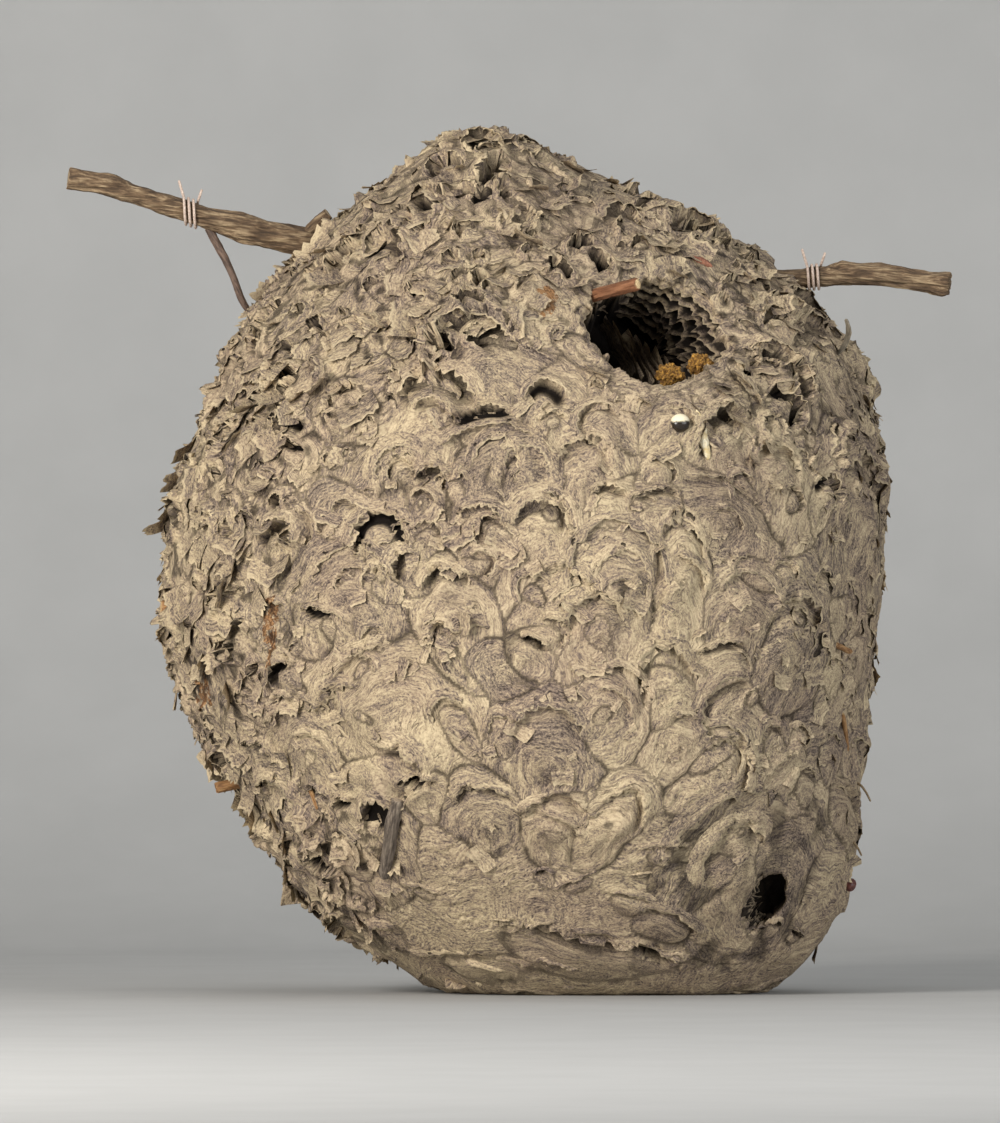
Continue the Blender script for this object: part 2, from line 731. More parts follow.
class NestBody:
    """The smooth body under the paper's relief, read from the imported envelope."""

    ROWS = 120
    COLUMNS = 240
    OUTSIDE = 0.6
    FILL_DROP = 0.0035

    def __init__(self, envelope: bpy.types.Object) -> None:
        """Read the envelope's radius in every direction and close its openings.

        Args:
            envelope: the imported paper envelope.
        """
        low, high = (np.array(corner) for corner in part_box("paper_envelope"))
        self.heart = np.array([(low[0] + high[0]) / 2, (low[1] + high[1]) / 2, (low[2] + high[2]) / 2])
        tree = BVHTree.FromObject(envelope, bpy.context.evaluated_depsgraph_get())
        polar = (np.arange(self.ROWS) + 0.5) / self.ROWS * math.pi
        turn = np.arange(self.COLUMNS) / self.COLUMNS * math.tau
        directions = np.stack([np.sin(polar)[:, None] * np.cos(turn), np.sin(polar)[:, None] * np.sin(turn),
                               np.cos(polar)[:, None] * np.ones_like(turn)], axis=-1)
        radii = np.empty((self.ROWS, self.COLUMNS))
        for row in range(self.ROWS):
            for column in range(self.COLUMNS):
                way = Vector(directions[row, column])
                hit = tree.ray_cast(Vector(self.heart) + way * self.OUTSIDE, -way)[0]
                radii[row, column] = (hit - Vector(self.heart)).length
        self.radii = self._filled(radii)
        self.normals = self._normals(directions)

    @staticmethod
    def _softened(radii: np.ndarray, times: int) -> np.ndarray:
        """Average the radii with their neighbours a number of times."""
        for _ in range(times):
            padded = np.pad(radii, ((1, 1), (0, 0)), mode="edge")
            radii = (radii * 2 + padded[:-2] + padded[2:] + np.roll(radii, 1, 1) + np.roll(radii, -1, 1)) / 6
        return radii

    def _filled(self, radii: np.ndarray) -> np.ndarray:
        """Bridge the openings and smooth the facets.

        Args:
            radii: the radius in each direction, with the openings.

        Returns:
            The radii of the closed, smooth body.
        """
        for drop in (6 * self.FILL_DROP, 2 * self.FILL_DROP, self.FILL_DROP):
            missing = radii < self._softened(radii, 40) - drop
            missing |= self._softened(missing.astype(float), 3) > 0.08
            filled = np.where(missing, self._softened(radii, 60), radii)
            for _ in range(160):
                filled = np.where(missing, self._softened(filled, 1), radii)
            radii = filled
        return self._softened(radii, 3)

    def _normals(self, directions: np.ndarray) -> np.ndarray:
        """Outward normals of the body in each direction."""
        points = self.heart + directions * self.radii[..., None]
        down = np.gradient(points, axis=0)
        around = np.roll(points, -1, 1) - np.roll(points, 1, 1)
        return unit(np.cross(down, around))

    def _read(self, table: np.ndarray, directions: np.ndarray) -> np.ndarray:
        """Read a table of the body between its samples.

        Args:
            table: values by row and column.
            directions: unit vectors.

        Returns:
            The table's value in each direction.
        """
        row = np.arccos(np.clip(directions[..., 2], -1.0, 1.0)) / math.pi * self.ROWS - 0.5
        column = np.arctan2(directions[..., 1], directions[..., 0]) % math.tau / math.tau * self.COLUMNS
        row = np.clip(row, 0.0, self.ROWS - 1.001)
        top = row.astype(int)
        left = column.astype(int) % self.COLUMNS
        right = (left + 1) % self.COLUMNS
        down = row - top
        across = column - np.floor(column)
        if table.ndim == 3:
            down, across = down[..., None], across[..., None]
        upper = table[top, left] * (1 - across) + table[top, right] * across
        lower = table[top + 1, left] * (1 - across) + table[top + 1, right] * across
        return upper * (1 - down) + lower * down

    def foot(self, points: np.ndarray) -> tuple[np.ndarray, np.ndarray]:
        """Drop points onto the body.

        Args:
            points: any points near it, shaped (..., 3).

        Returns:
            The points on the body and its normals there.
        """
        directions = unit(points - self.heart)
        return (self.heart + directions * self._read(self.radii, directions)[..., None],
                unit(self._read(self.normals, directions)))

    def front(self, x: np.ndarray | float, z: np.ndarray | float) -> np.ndarray:
        """Points of the body's front over x and z.

        Args:
            x: where they lie across.
            z: how high they lie.

        Returns:
            The points, shaped (..., 3).
        """
        depth = np.full(np.broadcast(x, z).shape, -0.1)
        for _ in range(14):
            guess = np.stack(np.broadcast_arrays(x, self.heart[1] + depth, z), axis=-1)
            found = self.foot(guess)[0]
            reach = np.linalg.norm(found - self.heart, axis=-1) / np.linalg.norm(guess - self.heart, axis=-1)
            depth = depth * reach
        return np.stack(np.broadcast_arrays(x, self.heart[1] + depth, z), axis=-1)


# -------------------------------------------------------------------------------------------------- hoods

class Style(Enum):
    """How the paper is laid: torn and ragged, in smooth swirls, or in long flat bands."""

    TORN = 0
    SWIRL = 1
    BANDED = 2


def torn_share(points: np.ndarray) -> np.ndarray:
    """How torn the paper is: most at the upper left, along the left edge and round the torn hole.

    Args:
        points: places on the body.

    Returns:
        0 for sound paper to 1 for torn paper.
    """
    wander = 0.02 * NOISE(points / 0.05)
    left = smooth(-0.098, -0.128, points[..., 0] + 0.5 * wander) * smooth(0.045, 0.085, points[..., 2] + wander)
    left += smooth(-0.050, -0.075, points[..., 0]) * smooth(0.120, 0.095, points[..., 2] + 0.5 * wander)
    bound = 0.310 + 0.70 * (points[..., 0] + 0.020)
    high_left = smooth(0.03, -0.03, points[..., 0] + wander) * smooth(-0.012, 0.018, points[..., 2] + wander - bound)
    ridge = smooth(0.345, 0.375, points[..., 2] + 0.5 * wander)
    right = 0.70 * smooth(0.075, 0.105, points[..., 0] + wander) * smooth(0.235, 0.262, points[..., 2] + wander)
    middle = 0.35 * smooth(0.055, 0.020, np.hypot(points[..., 0] + 0.045, points[..., 2] - 0.215) + wander)
    hole = np.linalg.norm(points - HOLE_CENTRE, axis=-1)
    total = left + high_left + 0.55 * ridge + right + middle + smooth(0.075, 0.04, hole + wander)
    return np.clip(total, 0.0, 1.0)


def banded_share(points: np.ndarray) -> np.ndarray:
    """How far the paper lies in long flat bands, as it does low on the nest."""
    wander = 0.025 * NOISE(points / 0.06 + 5.0)
    return smooth(0.125, 0.07, points[..., 2] + wander) * (1.0 - torn_share(points))


# Where rotten wood shows: x, z, half-width and half-height.
RUST_SPOTS = [(0.0130, 0.344, 0.0050, 0.0085), (-0.1225, 0.184, 0.0038, 0.0190), (-0.1560, 0.151, 0.0040, 0.0080)]


def rust_share(points: np.ndarray) -> np.ndarray:
    """How far rotten, rust-coloured wood shows in the paper.

    Args:
        points: places on the body.

    Returns:
        0 for clean paper to 1 for rust.
    """
    total = np.zeros(points.shape[:-1])
    for x, z, half_width, half_height in RUST_SPOTS:
        away = np.hypot((points[..., 0] - x) / half_width, (points[..., 2] - z) / half_height)
        total += smooth(1.0, 0.7, away + 0.55 * NOISE(points / 0.005)) * (points[..., 1] < 0.0)
    return np.clip(total, 0.0, 1.0)


RIM_SHARE = 1.10  # a hood's paper starts this far out, as a share of its doorway
OPEN_FOOT = 0.55  # under 1 draws a hood's doorway out below its focus, so that it hangs like a tongue
BAND_FOOT = 0.45  # the same for the bands that the paper is laid in
BAND_DROP = 0.90  # how far below the focus the bands' middle lies, as a share of the doorway


@dataclass
class Hoods:
    """A set of arched hoods. Each is a horseshoe of paper round a doorway that opens downwards.

    Attributes:
        focus: the middle of each doorway, on the body.
        side: unit vectors to each hood's right.
        up: unit vectors to the top of each arch.
        normal: unit vectors out of the paper.
        inner: the doorways' half-widths.
        outer: how far the hoods reach from their foci.
        stretch: how much taller than wide each one is.
        lip: how far each lip stands off the paper.
        pocket: how deep each doorway sinks under its lip.
        slot: how wide the dark gap under the lip is, as a share of the doorway.
        dome: how far the paper swells inside the doorway.
        reach: how far round its arch each hood runs, from the top, in radians.
        tone: a number from 0 to 1 that tells the hoods apart.
        ragged: how torn each lip is.
    """

    focus: np.ndarray
    side: np.ndarray
    up: np.ndarray
    normal: np.ndarray
    inner: np.ndarray
    outer: np.ndarray
    stretch: np.ndarray
    lip: np.ndarray
    pocket: np.ndarray
    slot: np.ndarray
    dome: np.ndarray
    reach: np.ndarray
    tone: np.ndarray
    ragged: np.ndarray

    def __len__(self) -> int:
        """How many hoods there are."""
        return len(self.focus)

    def pick(self, chosen: np.ndarray) -> "Hoods":
        """The hoods that a mask or a list of numbers picks."""
        return Hoods(**{item.name: getattr(self, item.name)[chosen] for item in fields(self)})

    def joined(self, other: "Hoods") -> "Hoods":
        """These hoods and the others as one set."""
        return Hoods(**{item.name: np.concatenate([getattr(self, item.name), getattr(other, item.name)])
                        for item in fields(self)})

    def flat(self, points: np.ndarray, index: int) -> tuple[np.ndarray, np.ndarray]:
        """Points to the side of one hood's focus and above it, gently warped and with the stretch taken out."""
        offset = points - self.focus[index]
        size = self.outer[index]
        u = offset @ self.side[index] + 0.16 * size * NOISE(points / (0.9 * size) + self.tone[index] * 91.0)
        v = offset @ self.up[index] + 0.16 * size * NOISE(points / (0.9 * size) - self.tone[index] * 57.0)
        return u, v / self.stretch[index]

    def bands(self, points: np.ndarray, index: int) -> tuple[np.ndarray, np.ndarray]:
        """The bands that the paper is laid in round one hood.

        Args:
            points: (points, 3).
            index: which hood.

        Returns:
            How far across the bands and how far along them each point lies.
        """
        u, v = self.flat(points, index)
        size = self.outer[index]
        u = u + 0.07 * size * NOISE(points / (0.30 * size) + 11.0)
        v = v + BAND_DROP * self.inner[index] + 0.07 * size * NOISE(points / (0.30 * size) + 23.0)
        hang = np.where(v < 0.0, v * BAND_FOOT, v)
        return np.hypot(u, hang) + self.tone[index] * 0.37, np.arctan2(u, hang) * size * 0.7

    def local(self, points: np.ndarray, index: int) -> tuple[np.ndarray, np.ndarray]:
        """Place points in one hood's own round coordinates.

        Args:
            points: (points, 3).
            index: which hood.

        Returns:
            The distance from the focus, with the arch's stretch taken out, and the angle from its top.
        """
        u, v = self.flat(points, index)
        v = np.where(v < 0.0, v * OPEN_FOOT, v)
        return np.hypot(u, v), np.arctan2(u, v)

    def strength(self, angle: np.ndarray, index: int | np.ndarray) -> np.ndarray:
        """How much of the hood is left at an angle from its top: 1 over the arch and 0 at its feet."""
        reach = self.reach[index]
        return smooth(1.0, 0.55, np.abs(angle) / reach)

    def relief(self, points: np.ndarray, index: int) -> tuple[np.ndarray, np.ndarray, np.ndarray]:
        """One hood's relief on the paper.

        Args:
            points: (points, 3).
            index: which hood.

        Returns:
            The height it adds, how dark its doorway is, and the distance from the focus over the hood's reach.
        """
        distance, angle = self.local(points, index)
        inner, outer, slot = self.inner[index], self.outer[index], self.slot[index]
        arch = self.strength(angle, index)
        rim = inner * RIM_SHARE
        beyond = np.clip((distance - rim) / (outer - rim), 0.0, 1.0)
        sheet = self.lip[index] * arch * (1.0 - beyond) ** 1.5 * (distance > rim)
        within = distance / inner
        depth = smooth(RIM_SHARE, 0.99, within) * smooth(1.0 - slot - 0.35, 1.0 - 0.7 * slot, within) * arch
        dome = self.dome[index] * smooth(1.02, 0.25, within)
        return sheet - self.pocket[index] * depth + dome, depth, distance / outer


class HoodField:
    """All the hoods on the nest, and the relief and bands that they give the paper."""

    def __init__(self, body: NestBody, levels: list[Hoods]) -> None:
        """Keep the hoods.

        Args:
            body: the smooth body.
            levels: the hoods, largest first.
        """
        self.body = body
        self.levels = levels

    def relief(self, points: np.ndarray, levels: int) -> dict[str, np.ndarray]:
        """Add up the relief of the larger hoods.

        Args:
            points: (points, 3) on the body.
            levels: how many levels of hoods are added.

        Returns:
            Height, recess, band, along and tone at each point.
        """
        count = len(points)
        best = 1.05 - 0.62 * banded_share(points)
        torn = torn_share(points)
        crumple = (1.0 - np.abs(NOISE(points / 0.009))) ** 2 + 0.5 * (1.0 - np.abs(NOISE(points / 0.0045))) ** 2
        second = best + 0.4
        result = {"height": 0.0010 * NOISE.layered(points / 0.018, 3) + (0.0003 + 0.0006 * torn) * crumple,
                  "recess": 0.72 * torn * smooth(-0.05, -0.45, NOISE(points / 0.0060)),
                  "band": points[:, 2] - 0.15 * points[:, 0] + 0.010 * NOISE(points / 0.05)
                  + 0.0035 * NOISE(points / 0.014), "along": points[:, 0] - 0.4 * points[:, 1],
                  "tone": 0.5 + 0.4 * NOISE(points / 0.04), "rust": rust_share(points)}
        for level, hoods in enumerate(self.levels[:levels]):
            for index in range(len(hoods)):
                size = 1.15 * hoods.outer[index] * max(1.0, hoods.stretch[index] / OPEN_FOOT)
                near = np.flatnonzero(np.linalg.norm(points - hoods.focus[index], axis=1) < size)
                if not len(near):
                    continue
                spots = points[near]
                height, depth, share = hoods.relief(spots, index)
                result["height"][near] += height
                deep = hoods.pocket[index] > 0.0050
                recess = smooth(0.02, 0.42, depth) if deep else depth * (hoods.pocket[index] / 0.0050) ** 1.3
                result["recess"][near] = np.maximum(result["recess"][near], recess)
                if level:
                    score = share * (1.20 - 0.45 * torn[near])
                else:
                    score = share * (0.62 if index < len(FACE_HOODS) else 0.95)
                winner = score < best[near]
                chosen = near[winner]
                second[near] = np.minimum(second[near], np.maximum(score, best[near]))
                best[chosen] = score[winner]
                result["band"][chosen], result["along"][chosen] = hoods.bands(points[chosen], index)
                result["tone"][chosen] = hoods.tone[index]
        crease = smooth(0.075, 0.0, second - best) * smooth(-0.20, 0.25, NOISE(points / 0.013 + 9.0)) * (best < 0.9)
        result["height"] -= 0.0011 * crease * (1.0 - 0.5 * torn)
        result["recess"] = np.maximum(result["recess"], 0.58 * crease)
        phase = result["band"] / 0.0060 + 0.6 * NOISE(points / 0.012)
        shingle = (1.0 - phase + np.floor(phase)) * smooth(-0.25, 0.30, NOISE(points / 0.021 + 3.0))
        result["height"] += (0.0006 + 0.0007 * banded_share(points)) * (1.0 - torn) * shingle
        return result


@dataclass
class HoodScatter:
    """Scatters one level of hoods over the nest.

    Attributes:
        seed: picks the pattern.
        count: how many hoods are wanted at most.
        tries: how many places are tried.
        size: the hoods' outer radius for torn, swirled and banded paper.
        lip: how far the lips stand off, for each style, in metres.
        pocket: how deep the doorways sink, for each style, in metres.
        spacing: how close two foci may be, as a share of their radii.
        slot: how wide the gap under a lip is for each style, as a share of the doorway.
        torn_only: true where the level belongs to torn paper.
    """

    seed: int
    count: int
    tries: int
    size: tuple[float, float, float]
    lip: tuple[float, float, float]
    pocket: tuple[float, float, float]
    spacing: float
    slot: tuple[float, float, float] = (0.62, 0.14, 0.16)
    torn_only: bool = False

    def scatter(self, body: NestBody, placed: list[tuple[np.ndarray, float]]) -> Hoods:
        """Scatter the hoods.

        Args:
            body: the smooth body.
            placed: places and radii that the foci keep away from.

        Returns:
            The hoods.
        """
        rng = np.random.default_rng(self.seed)
        points, normals = body.foot(body.heart + unit(rng.normal(size=(self.tries, 3))))
        torn, banded = torn_share(points), banded_share(points)
        draws = rng.random((self.tries, 9))
        chosen = []
        spots = [(np.asarray(place), radius) for place, radius in placed]
        front = points[:, 1] < 0.0
        from_hole = np.where(front, HOLE_PIT.level(points), 9.0)
        from_entrance = np.where(front, ENTRANCE_PIT.level(points), 9.0)
        clear = (from_entrance > 1.35) & (rng.random(self.tries) > 0.6 * banded)
        for index in range(self.tries):
            if len(chosen) == self.count:
                break
            if not clear[index] or self.torn_only and draws[index, 0] > torn[index] + 0.05:
                continue
            swirl = max(1.0 - torn[index] - banded[index], 0.0)
            mix = np.array([torn[index], swirl, banded[index]])
            mix /= mix.sum()
            outer = float(mix @ np.array(self.size)) * (0.65 + 0.8 * draws[index, 1] ** 1.5)
            if from_hole[index] < 1.06 + outer / 0.045 or from_entrance[index] < 1.0 + 0.6 * outer / 0.012:
                continue
            if spots:
                places = np.array([spot[0] for spot in spots])
                radii = np.array([spot[1] for spot in spots])
                apart = np.linalg.norm(places - points[index], axis=1)
                if np.any(apart < self.spacing * 0.5 * (radii + outer)):
                    continue
            spots.append((points[index], outer))
            chosen.append((index, outer, mix))
        kept = np.array([index for index, _, _ in chosen], dtype=int)
        outer = np.array([radius for _, radius, _ in chosen])
        mixes = np.array([mix for _, _, mix in chosen]).reshape(-1, 3)
        draw = draws[kept]
        normal = normals[kept]
        lean = (draw[:, 2] - 0.5) * (mixes @ np.array([3.0, 2.6, 1.0]))
        side, up = tangent_axes(normal, lean)
        flat = mixes @ np.array([1.0, 0.95, 0.42])
        lip = mixes @ np.array(self.lip) * (0.4 + 1.2 * draw[:, 5])
        return Hoods(
            focus=points[kept], side=side, up=up, normal=normal,
            inner=outer * (0.40 + 0.22 * draw[:, 3]), outer=outer,
            stretch=flat * (0.55 + 1.0 * draw[:, 4]), lip=lip,
            pocket=mixes @ np.array(self.pocket) * (0.3 + 1.4 * draw[:, 6] ** 2),
            slot=mixes @ np.array(self.slot) * (0.5 + draw[:, 0]),
            dome=lip * (mixes @ np.array([0.25, 0.95, 0.8])),
            reach=mixes @ np.array([1.3, 1.25, 1.15]) + 0.9 * draw[:, 7], tone=draw[:, 8],
            ragged=0.6 + 0.4 * mixes[:, 0])


# The hoods that give this nest its face: x, z, lean in degrees, doorway, reach, stretch, lip, pocket, slot, dome,
# arch in degrees and raggedness. Lengths are in millimetres.
FACE_HOODS = [
    (-42.5, 288.5, 0, 20, 34, 1.10, 3.4, 4.0, 0.22, 3.0, 95, 0.5),
    (-43.0, 286.0, 20, 10, 17, 0.90, 2.6, 3.0, 0.30, 1.5, 110, 0.4),
    (-59.0, 259.0, -10, 6, 22, 1.00, 1.6, 1.0, 0.20, 2.0, 140, 0.2),
    (-59.0, 259.0, -30, 12, 26, 1.05, 1.6, 0.8, 0.12, 0.5, 100, 0.2),
    (-44.5, 250.0, 15, 9, 15, 1.30, 2.6, 4.0, 0.28, 1.0, 75, 0.5),
    (-20.0, 281.5, -8, 17, 26, 0.60, 3.4, 6.0, 0.22, 1.5, 72, 0.4),
    (12.5, 291.0, 0, 11, 18, 1.25, 2.4, 5.0, 0.24, 1.2, 95, 0.4),
    (3.0, 262.0, 10, 10, 30, 0.95, 1.6, 1.0, 0.15, 2.4, 130, 0.2),
    (-14.0, 266.0, -5, 27, 38, 0.60, 2.6, 2.0, 0.12, 1.0, 70, 0.3),
    (43.5, 245.0, 5, 9, 15, 0.85, 2.0, 3.4, 0.16, 1.5, 80, 0.5),
    (68.0, 243.0, 0, 11, 18, 0.70, 2.0, 3.4, 0.16, 1.5, 80, 0.5),
    (100.0, 243.0, 24, 25, 36, 0.45, 2.2, 1.6, 0.12, 1.6, 75, 0.2),
    (47.5, 208.0, 4, 24, 33, 1.12, 1.3, 0.9, 0.08, 3.6, 150, 0.1),
    (49.0, 204.0, 12, 13, 22, 1.25, 0.9, 0.6, 0.08, 1.4, 150, 0.1),
    (78.0, 208.0, 2, 14, 21, 2.00, 1.2, 0.9, 0.08, 2.6, 100, 0.1),
    (99.0, 168.0, -14, 13, 22, 0.60, 2.6, 4.0, 0.22, 1.0, 65, 0.9),
    (112.0, 196.0, 20, 16, 30, 0.85, 1.6, 1.0, 0.10, 2.0, 110, 0.2),
    (-36.0, 196.0, -12, 13, 22, 1.20, 2.4, 4.0, 0.16, 1.4, 75, 0.5),
    (5.0, 172.0, 25, 8, 14, 0.80, 2.2, 5.0, 0.28, 0.8, 70, 0.9),
    (-86.5, 240.0, -10, 6, 14, 1.00, 1.8, 2.0, 0.25, 1.6, 110, 0.3),
    (-99.0, 187.0, 5, 9, 15, 0.75, 2.8, 6.0, 0.60, 1.0, 80, 0.6),
    (-84.0, 205.0, -10, 20, 34, 0.80, 1.6, 1.0, 0.12, 2.6, 80, 0.3),
    (-75.0, 150.0, -35, 30, 46, 0.70, 2.2, 1.2, 0.10, 3.0, 70, 0.2),
    (13.0, 128.0, 5, 17, 27, 0.95, 2.2, 1.6, 0.14, 2.2, 110, 0.3),
    (48.0, 150.0, 40, 15, 24, 0.85, 2.2, 1.6, 0.14, 1.6, 80, 0.4),
    (83.0, 130.0, 35, 12, 22, 0.75, 2.0, 1.4, 0.14, 1.6, 80, 0.3),
    (-17.5, 94.0, -4, 15, 25, 0.85, 3.0, 2.4, 0.18, 2.6, 85, 0.3),
    (16.0, 87.0, 6, 16, 26, 0.80, 3.0, 2.4, 0.18, 2.6, 85, 0.3),
    (47.0, 88.0, 38, 12, 21, 1.35, 2.2, 1.6, 0.14, 2.6, 110, 0.3),
    (12.0, 61.0, 0, 4, 8, 0.80, 1.6, 6.0, 0.90, 0.0, 100, 0.4),
    (106.0, 68.0, -35, 18, 58, 0.95, 1.8, 0.8, 0.08, 3.0, 120, 0.1),
    (104.0, 70.0, -38, 34, 60, 0.90, 1.8, 1.0, 0.07, 0.5, 75, 0.2),
    (34.0, 20.0, 12, 44, 54, 0.30, 3.0, 3.6, 0.22, 1.0, 70, 0.6),
    (126.0, 34.5, 20, 4, 8, 1.00, 1.6, 8.0, 0.90, 0.0, 100, 0.6),
    (138.0, 28.0, 30, 5, 9, 0.55, 1.8, 8.0, 0.90, 0.0, 100, 0.8),
    (65.0, 18.0, 12, 15, 22, 0.45, 2.2, 9.0, 0.80, 0.0, 80, 0.8),
    (-49.0, 105.0, -12, 9, 15, 0.70, 2.8, 9.0, 0.80, 0.0, 80, 0.9),
    (-66.0, 82.0, -8, 11, 18, 1.70, 3.0, 6.0, 0.80, 0.0, 90, 0.8),
    (-98.5, 99.0, 10, 7, 13, 0.90, 3.0, 9.0, 0.80, 0.0, 90, 0.9),
    (-86.0, 94.0, -20, 6, 11, 0.90, 2.8, 9.0, 0.80, 0.0, 90, 0.9),
    (-128.0, 120.0, 15, 11, 18, 0.75, 3.4, 9.0, 0.80, 0.0, 90, 0.9),
    (-116.0, 306.0, -10, 7, 13, 1.00, 3.4, 8.0, 0.75, 0.0, 85, 0.9),
    (-53.5, 323.5, 30, 5, 10, 1.10, 3.0, 8.0, 0.75, 0.0, 85, 0.8),
    (-68.0, 329.0, -20, 5, 9, 0.90, 2.8, 7.0, 0.75, 0.0, 85, 0.8),
    (-113.0, 269.0, 10, 7, 13, 0.85, 3.4, 8.0, 0.75, 0.0, 85, 0.9),
    (-120.5, 240.0, 15, 5, 10, 1.70, 2.8, 9.0, 0.80, 0.0, 85, 0.8),
    (-130.5, 279.0, -15, 6, 11, 1.10, 3.4, 8.0, 0.75, 0.0, 85, 0.9),
    (-143.5, 224.0, 5, 5, 10, 2.40, 3.0, 10.0, 0.85, 0.0, 80, 0.8),
    (-126.5, 223.0, 2, 5, 10, 2.60, 3.0, 11.0, 0.85, 0.0, 80, 0.8),
    (-158.0, 198.0, 0, 5, 10, 2.00, 3.0, 9.0, 0.85, 0.0, 80, 0.8),
    (-27.0, 340.0, 20, 10, 18, 1.10, 2.6, 3.0, 0.40, 1.0, 90, 0.6),
    (8.0, 350.0, 10, 14, 26, 0.80, 2.0, 1.4, 0.18, 2.4, 90, 0.4),
    (-15.0, 395.0, -10, 10, 18, 0.90, 2.8, 6.0, 0.60, 0.5, 90, 0.8),
    (125.0, 262.0, 10, 13, 24, 0.90, 2.0, 1.4, 0.16, 2.2, 120, 0.3),
]


def face_hoods(body: NestBody) -> Hoods:
    """Set out the hoods that give this nest its face.

    Args:
        body: the smooth body.

    Returns:
        The hoods.
    """
    rows = np.array(FACE_HOODS, dtype=float)
    focus, normal = body.foot(np.array([body.front(x, z) for x, z in rows[:, :2] / 1000.0]))
    side, up = tangent_axes(normal, np.radians(rows[:, 2]))
    rng = np.random.default_rng(5)
    return Hoods(
        focus=focus, side=side, up=up, normal=normal, inner=rows[:, 3] / 1000.0, outer=rows[:, 4] / 1000.0,
        stretch=rows[:, 5], lip=rows[:, 6] / 1000.0, pocket=rows[:, 7] / 1000.0, slot=rows[:, 8],
        dome=rows[:, 9] / 1000.0, reach=np.radians(rows[:, 10]), tone=rng.random(len(rows)), ragged=0.45 + 0.55 * rows[:, 11])


def tangent_axes(normal: np.ndarray, lean: np.ndarray) -> tuple[np.ndarray, np.ndarray]:
    """Axes in the paper: one up the nest and one to the side, turned by an angle.

    Args:
        normal: outward normals, (points, 3).
        lean: angles in radians, positive to the right.

    Returns:
        The side and up axes.
    """
    guide = np.array([0.0, 0.0, 1.0]) + 0.02 * normal
    side = unit(np.cross(guide, normal) + np.array([1e-6, 0.0, 0.0]))
    up = np.cross(normal, side)
    turned_up = unit(up * np.cos(lean)[:, None] + side * np.sin(lean)[:, None])
    return unit(np.cross(turned_up, normal)), turned_up


@dataclass
class LipSheets:
    """The thin torn lips of a level of hoods, which stand clear of the paper and are hollow underneath.

    Attributes:
        hoods: the hoods.
        rows: rows of points from a lip's root to its free edge.
        columns: columns of points round its arch.
        depth: how far a lip's root lies behind its free edge, in metres.
    """

    hoods: Hoods
    rows: int
    columns: int
    depth: float
    bury: float = 0.0007

    def batch(self, field_: HoodField) -> GridBatch:
        """Work out every lip.

        Args:
            field_: the relief that the lips grow from.

        Returns:
            The grids.
        """
        hoods = self.hoods
        share = np.concatenate([np.linspace(0.0, 1.0, self.rows), [1.0, 0.78, 0.50]])
        turn = np.linspace(-1.0, 1.0, self.columns)
        angle = hoods.reach[:, None, None] * turn[None, None, :] * np.ones((1, len(share), 1))
        tone = hoods.tone[:, None, None]
        still = 0.0 * angle
        loose = np.stack([np.cos(angle) * 2.2 + tone * 60.0, np.sin(angle) * 2.2, tone * 40.0 + still], axis=-1)
        tear = np.stack([angle * 5.0 + tone * 90.0, still, tone * 31.0 + still], axis=-1)
        ragged = hoods.ragged[:, None, None]
        torn = (0.05 + 0.17 * ragged) * NOISE(tear) + (0.03 + 0.10 * ragged) * NOISE(tear * 2.6)
        free = hoods.inner[:, None, None] * (1.0 + 0.07 * NOISE(loose) + torn)
        root = hoods.inner[:, None, None] * RIM_SHARE + np.minimum(
            self.depth, 0.7 * (hoods.outer - hoods.inner * RIM_SHARE))[:, None, None]
        distance = root + (free - root) * share[None, :, None]
        spots = self._spots(distance, angle)
        feet, normals = field_.body.foot(spots)
        roots = field_.body.foot(self._spots(np.maximum(distance, hoods.inner[:, None, None] * 1.16), angle))[0]
        under = field_.relief(roots.reshape(-1, 3), len(field_.levels))
        ground = under["height"].reshape(angle.shape)
        arch = hoods.strength(angle, np.arange(len(hoods))[:, None, None])
        lift = np.concatenate([np.linspace(0.0, 1.0, self.rows) ** 2, [0.86, 0.1, -1.4]])[None, :, None]
        curl = hoods.lip[:, None, None] * (0.22 + 0.30 * ragged * NOISE(tear * 0.8 + 3.0)) * arch
        emerge = smooth(0.0, 0.35, share)[None, :, None] * (0.25 + arch)
        height = ground - self.bury + emerge * self.bury * 1.1 + curl * lift
        height -= (1.0 - arch) * 0.4 * self.bury * share[None, :, None]
        points = feet + normals * height[..., None]
        points[..., 2] = np.maximum(points[..., 2], FLOOR_GAP)
        edge_rows = np.concatenate([np.linspace(0.0, 1.0, self.rows) ** 8, [0.8, 0.1, 0.0]])[None, :, None]
        dark_rows = np.concatenate([np.zeros(self.rows + 1), [0.7, 1.0]])[None, :, None]
        masks = {"band": distance + tone * 0.37, "along": angle * hoods.outer[:, None, None] * 0.7,
                 "tone": tone + still, "recess": dark_rows + still, "edge": edge_rows * arch,
                 "rust": under["rust"].reshape(angle.shape)}
        return GridBatch(points, masks)

    def _spots(self, distance: np.ndarray, angle: np.ndarray) -> np.ndarray:
        """Places in each hood's plane.

        Args:
            distance: from the focus, before the arch is stretched.
            angle: from the top of the arch.

        Returns:
            The places.
        """
        hoods = self.hoods
        side = (distance * np.sin(angle))[..., None] * hoods.side[:, None, None, :]
        rise = (distance * np.cos(angle) * hoods.stretch[:, None, None])[..., None] * hoods.up[:, None, None, :]
        return hoods.focus[:, None, None, :] + side + rise


# ----------------------------------------------------------------------------------------------- the paper

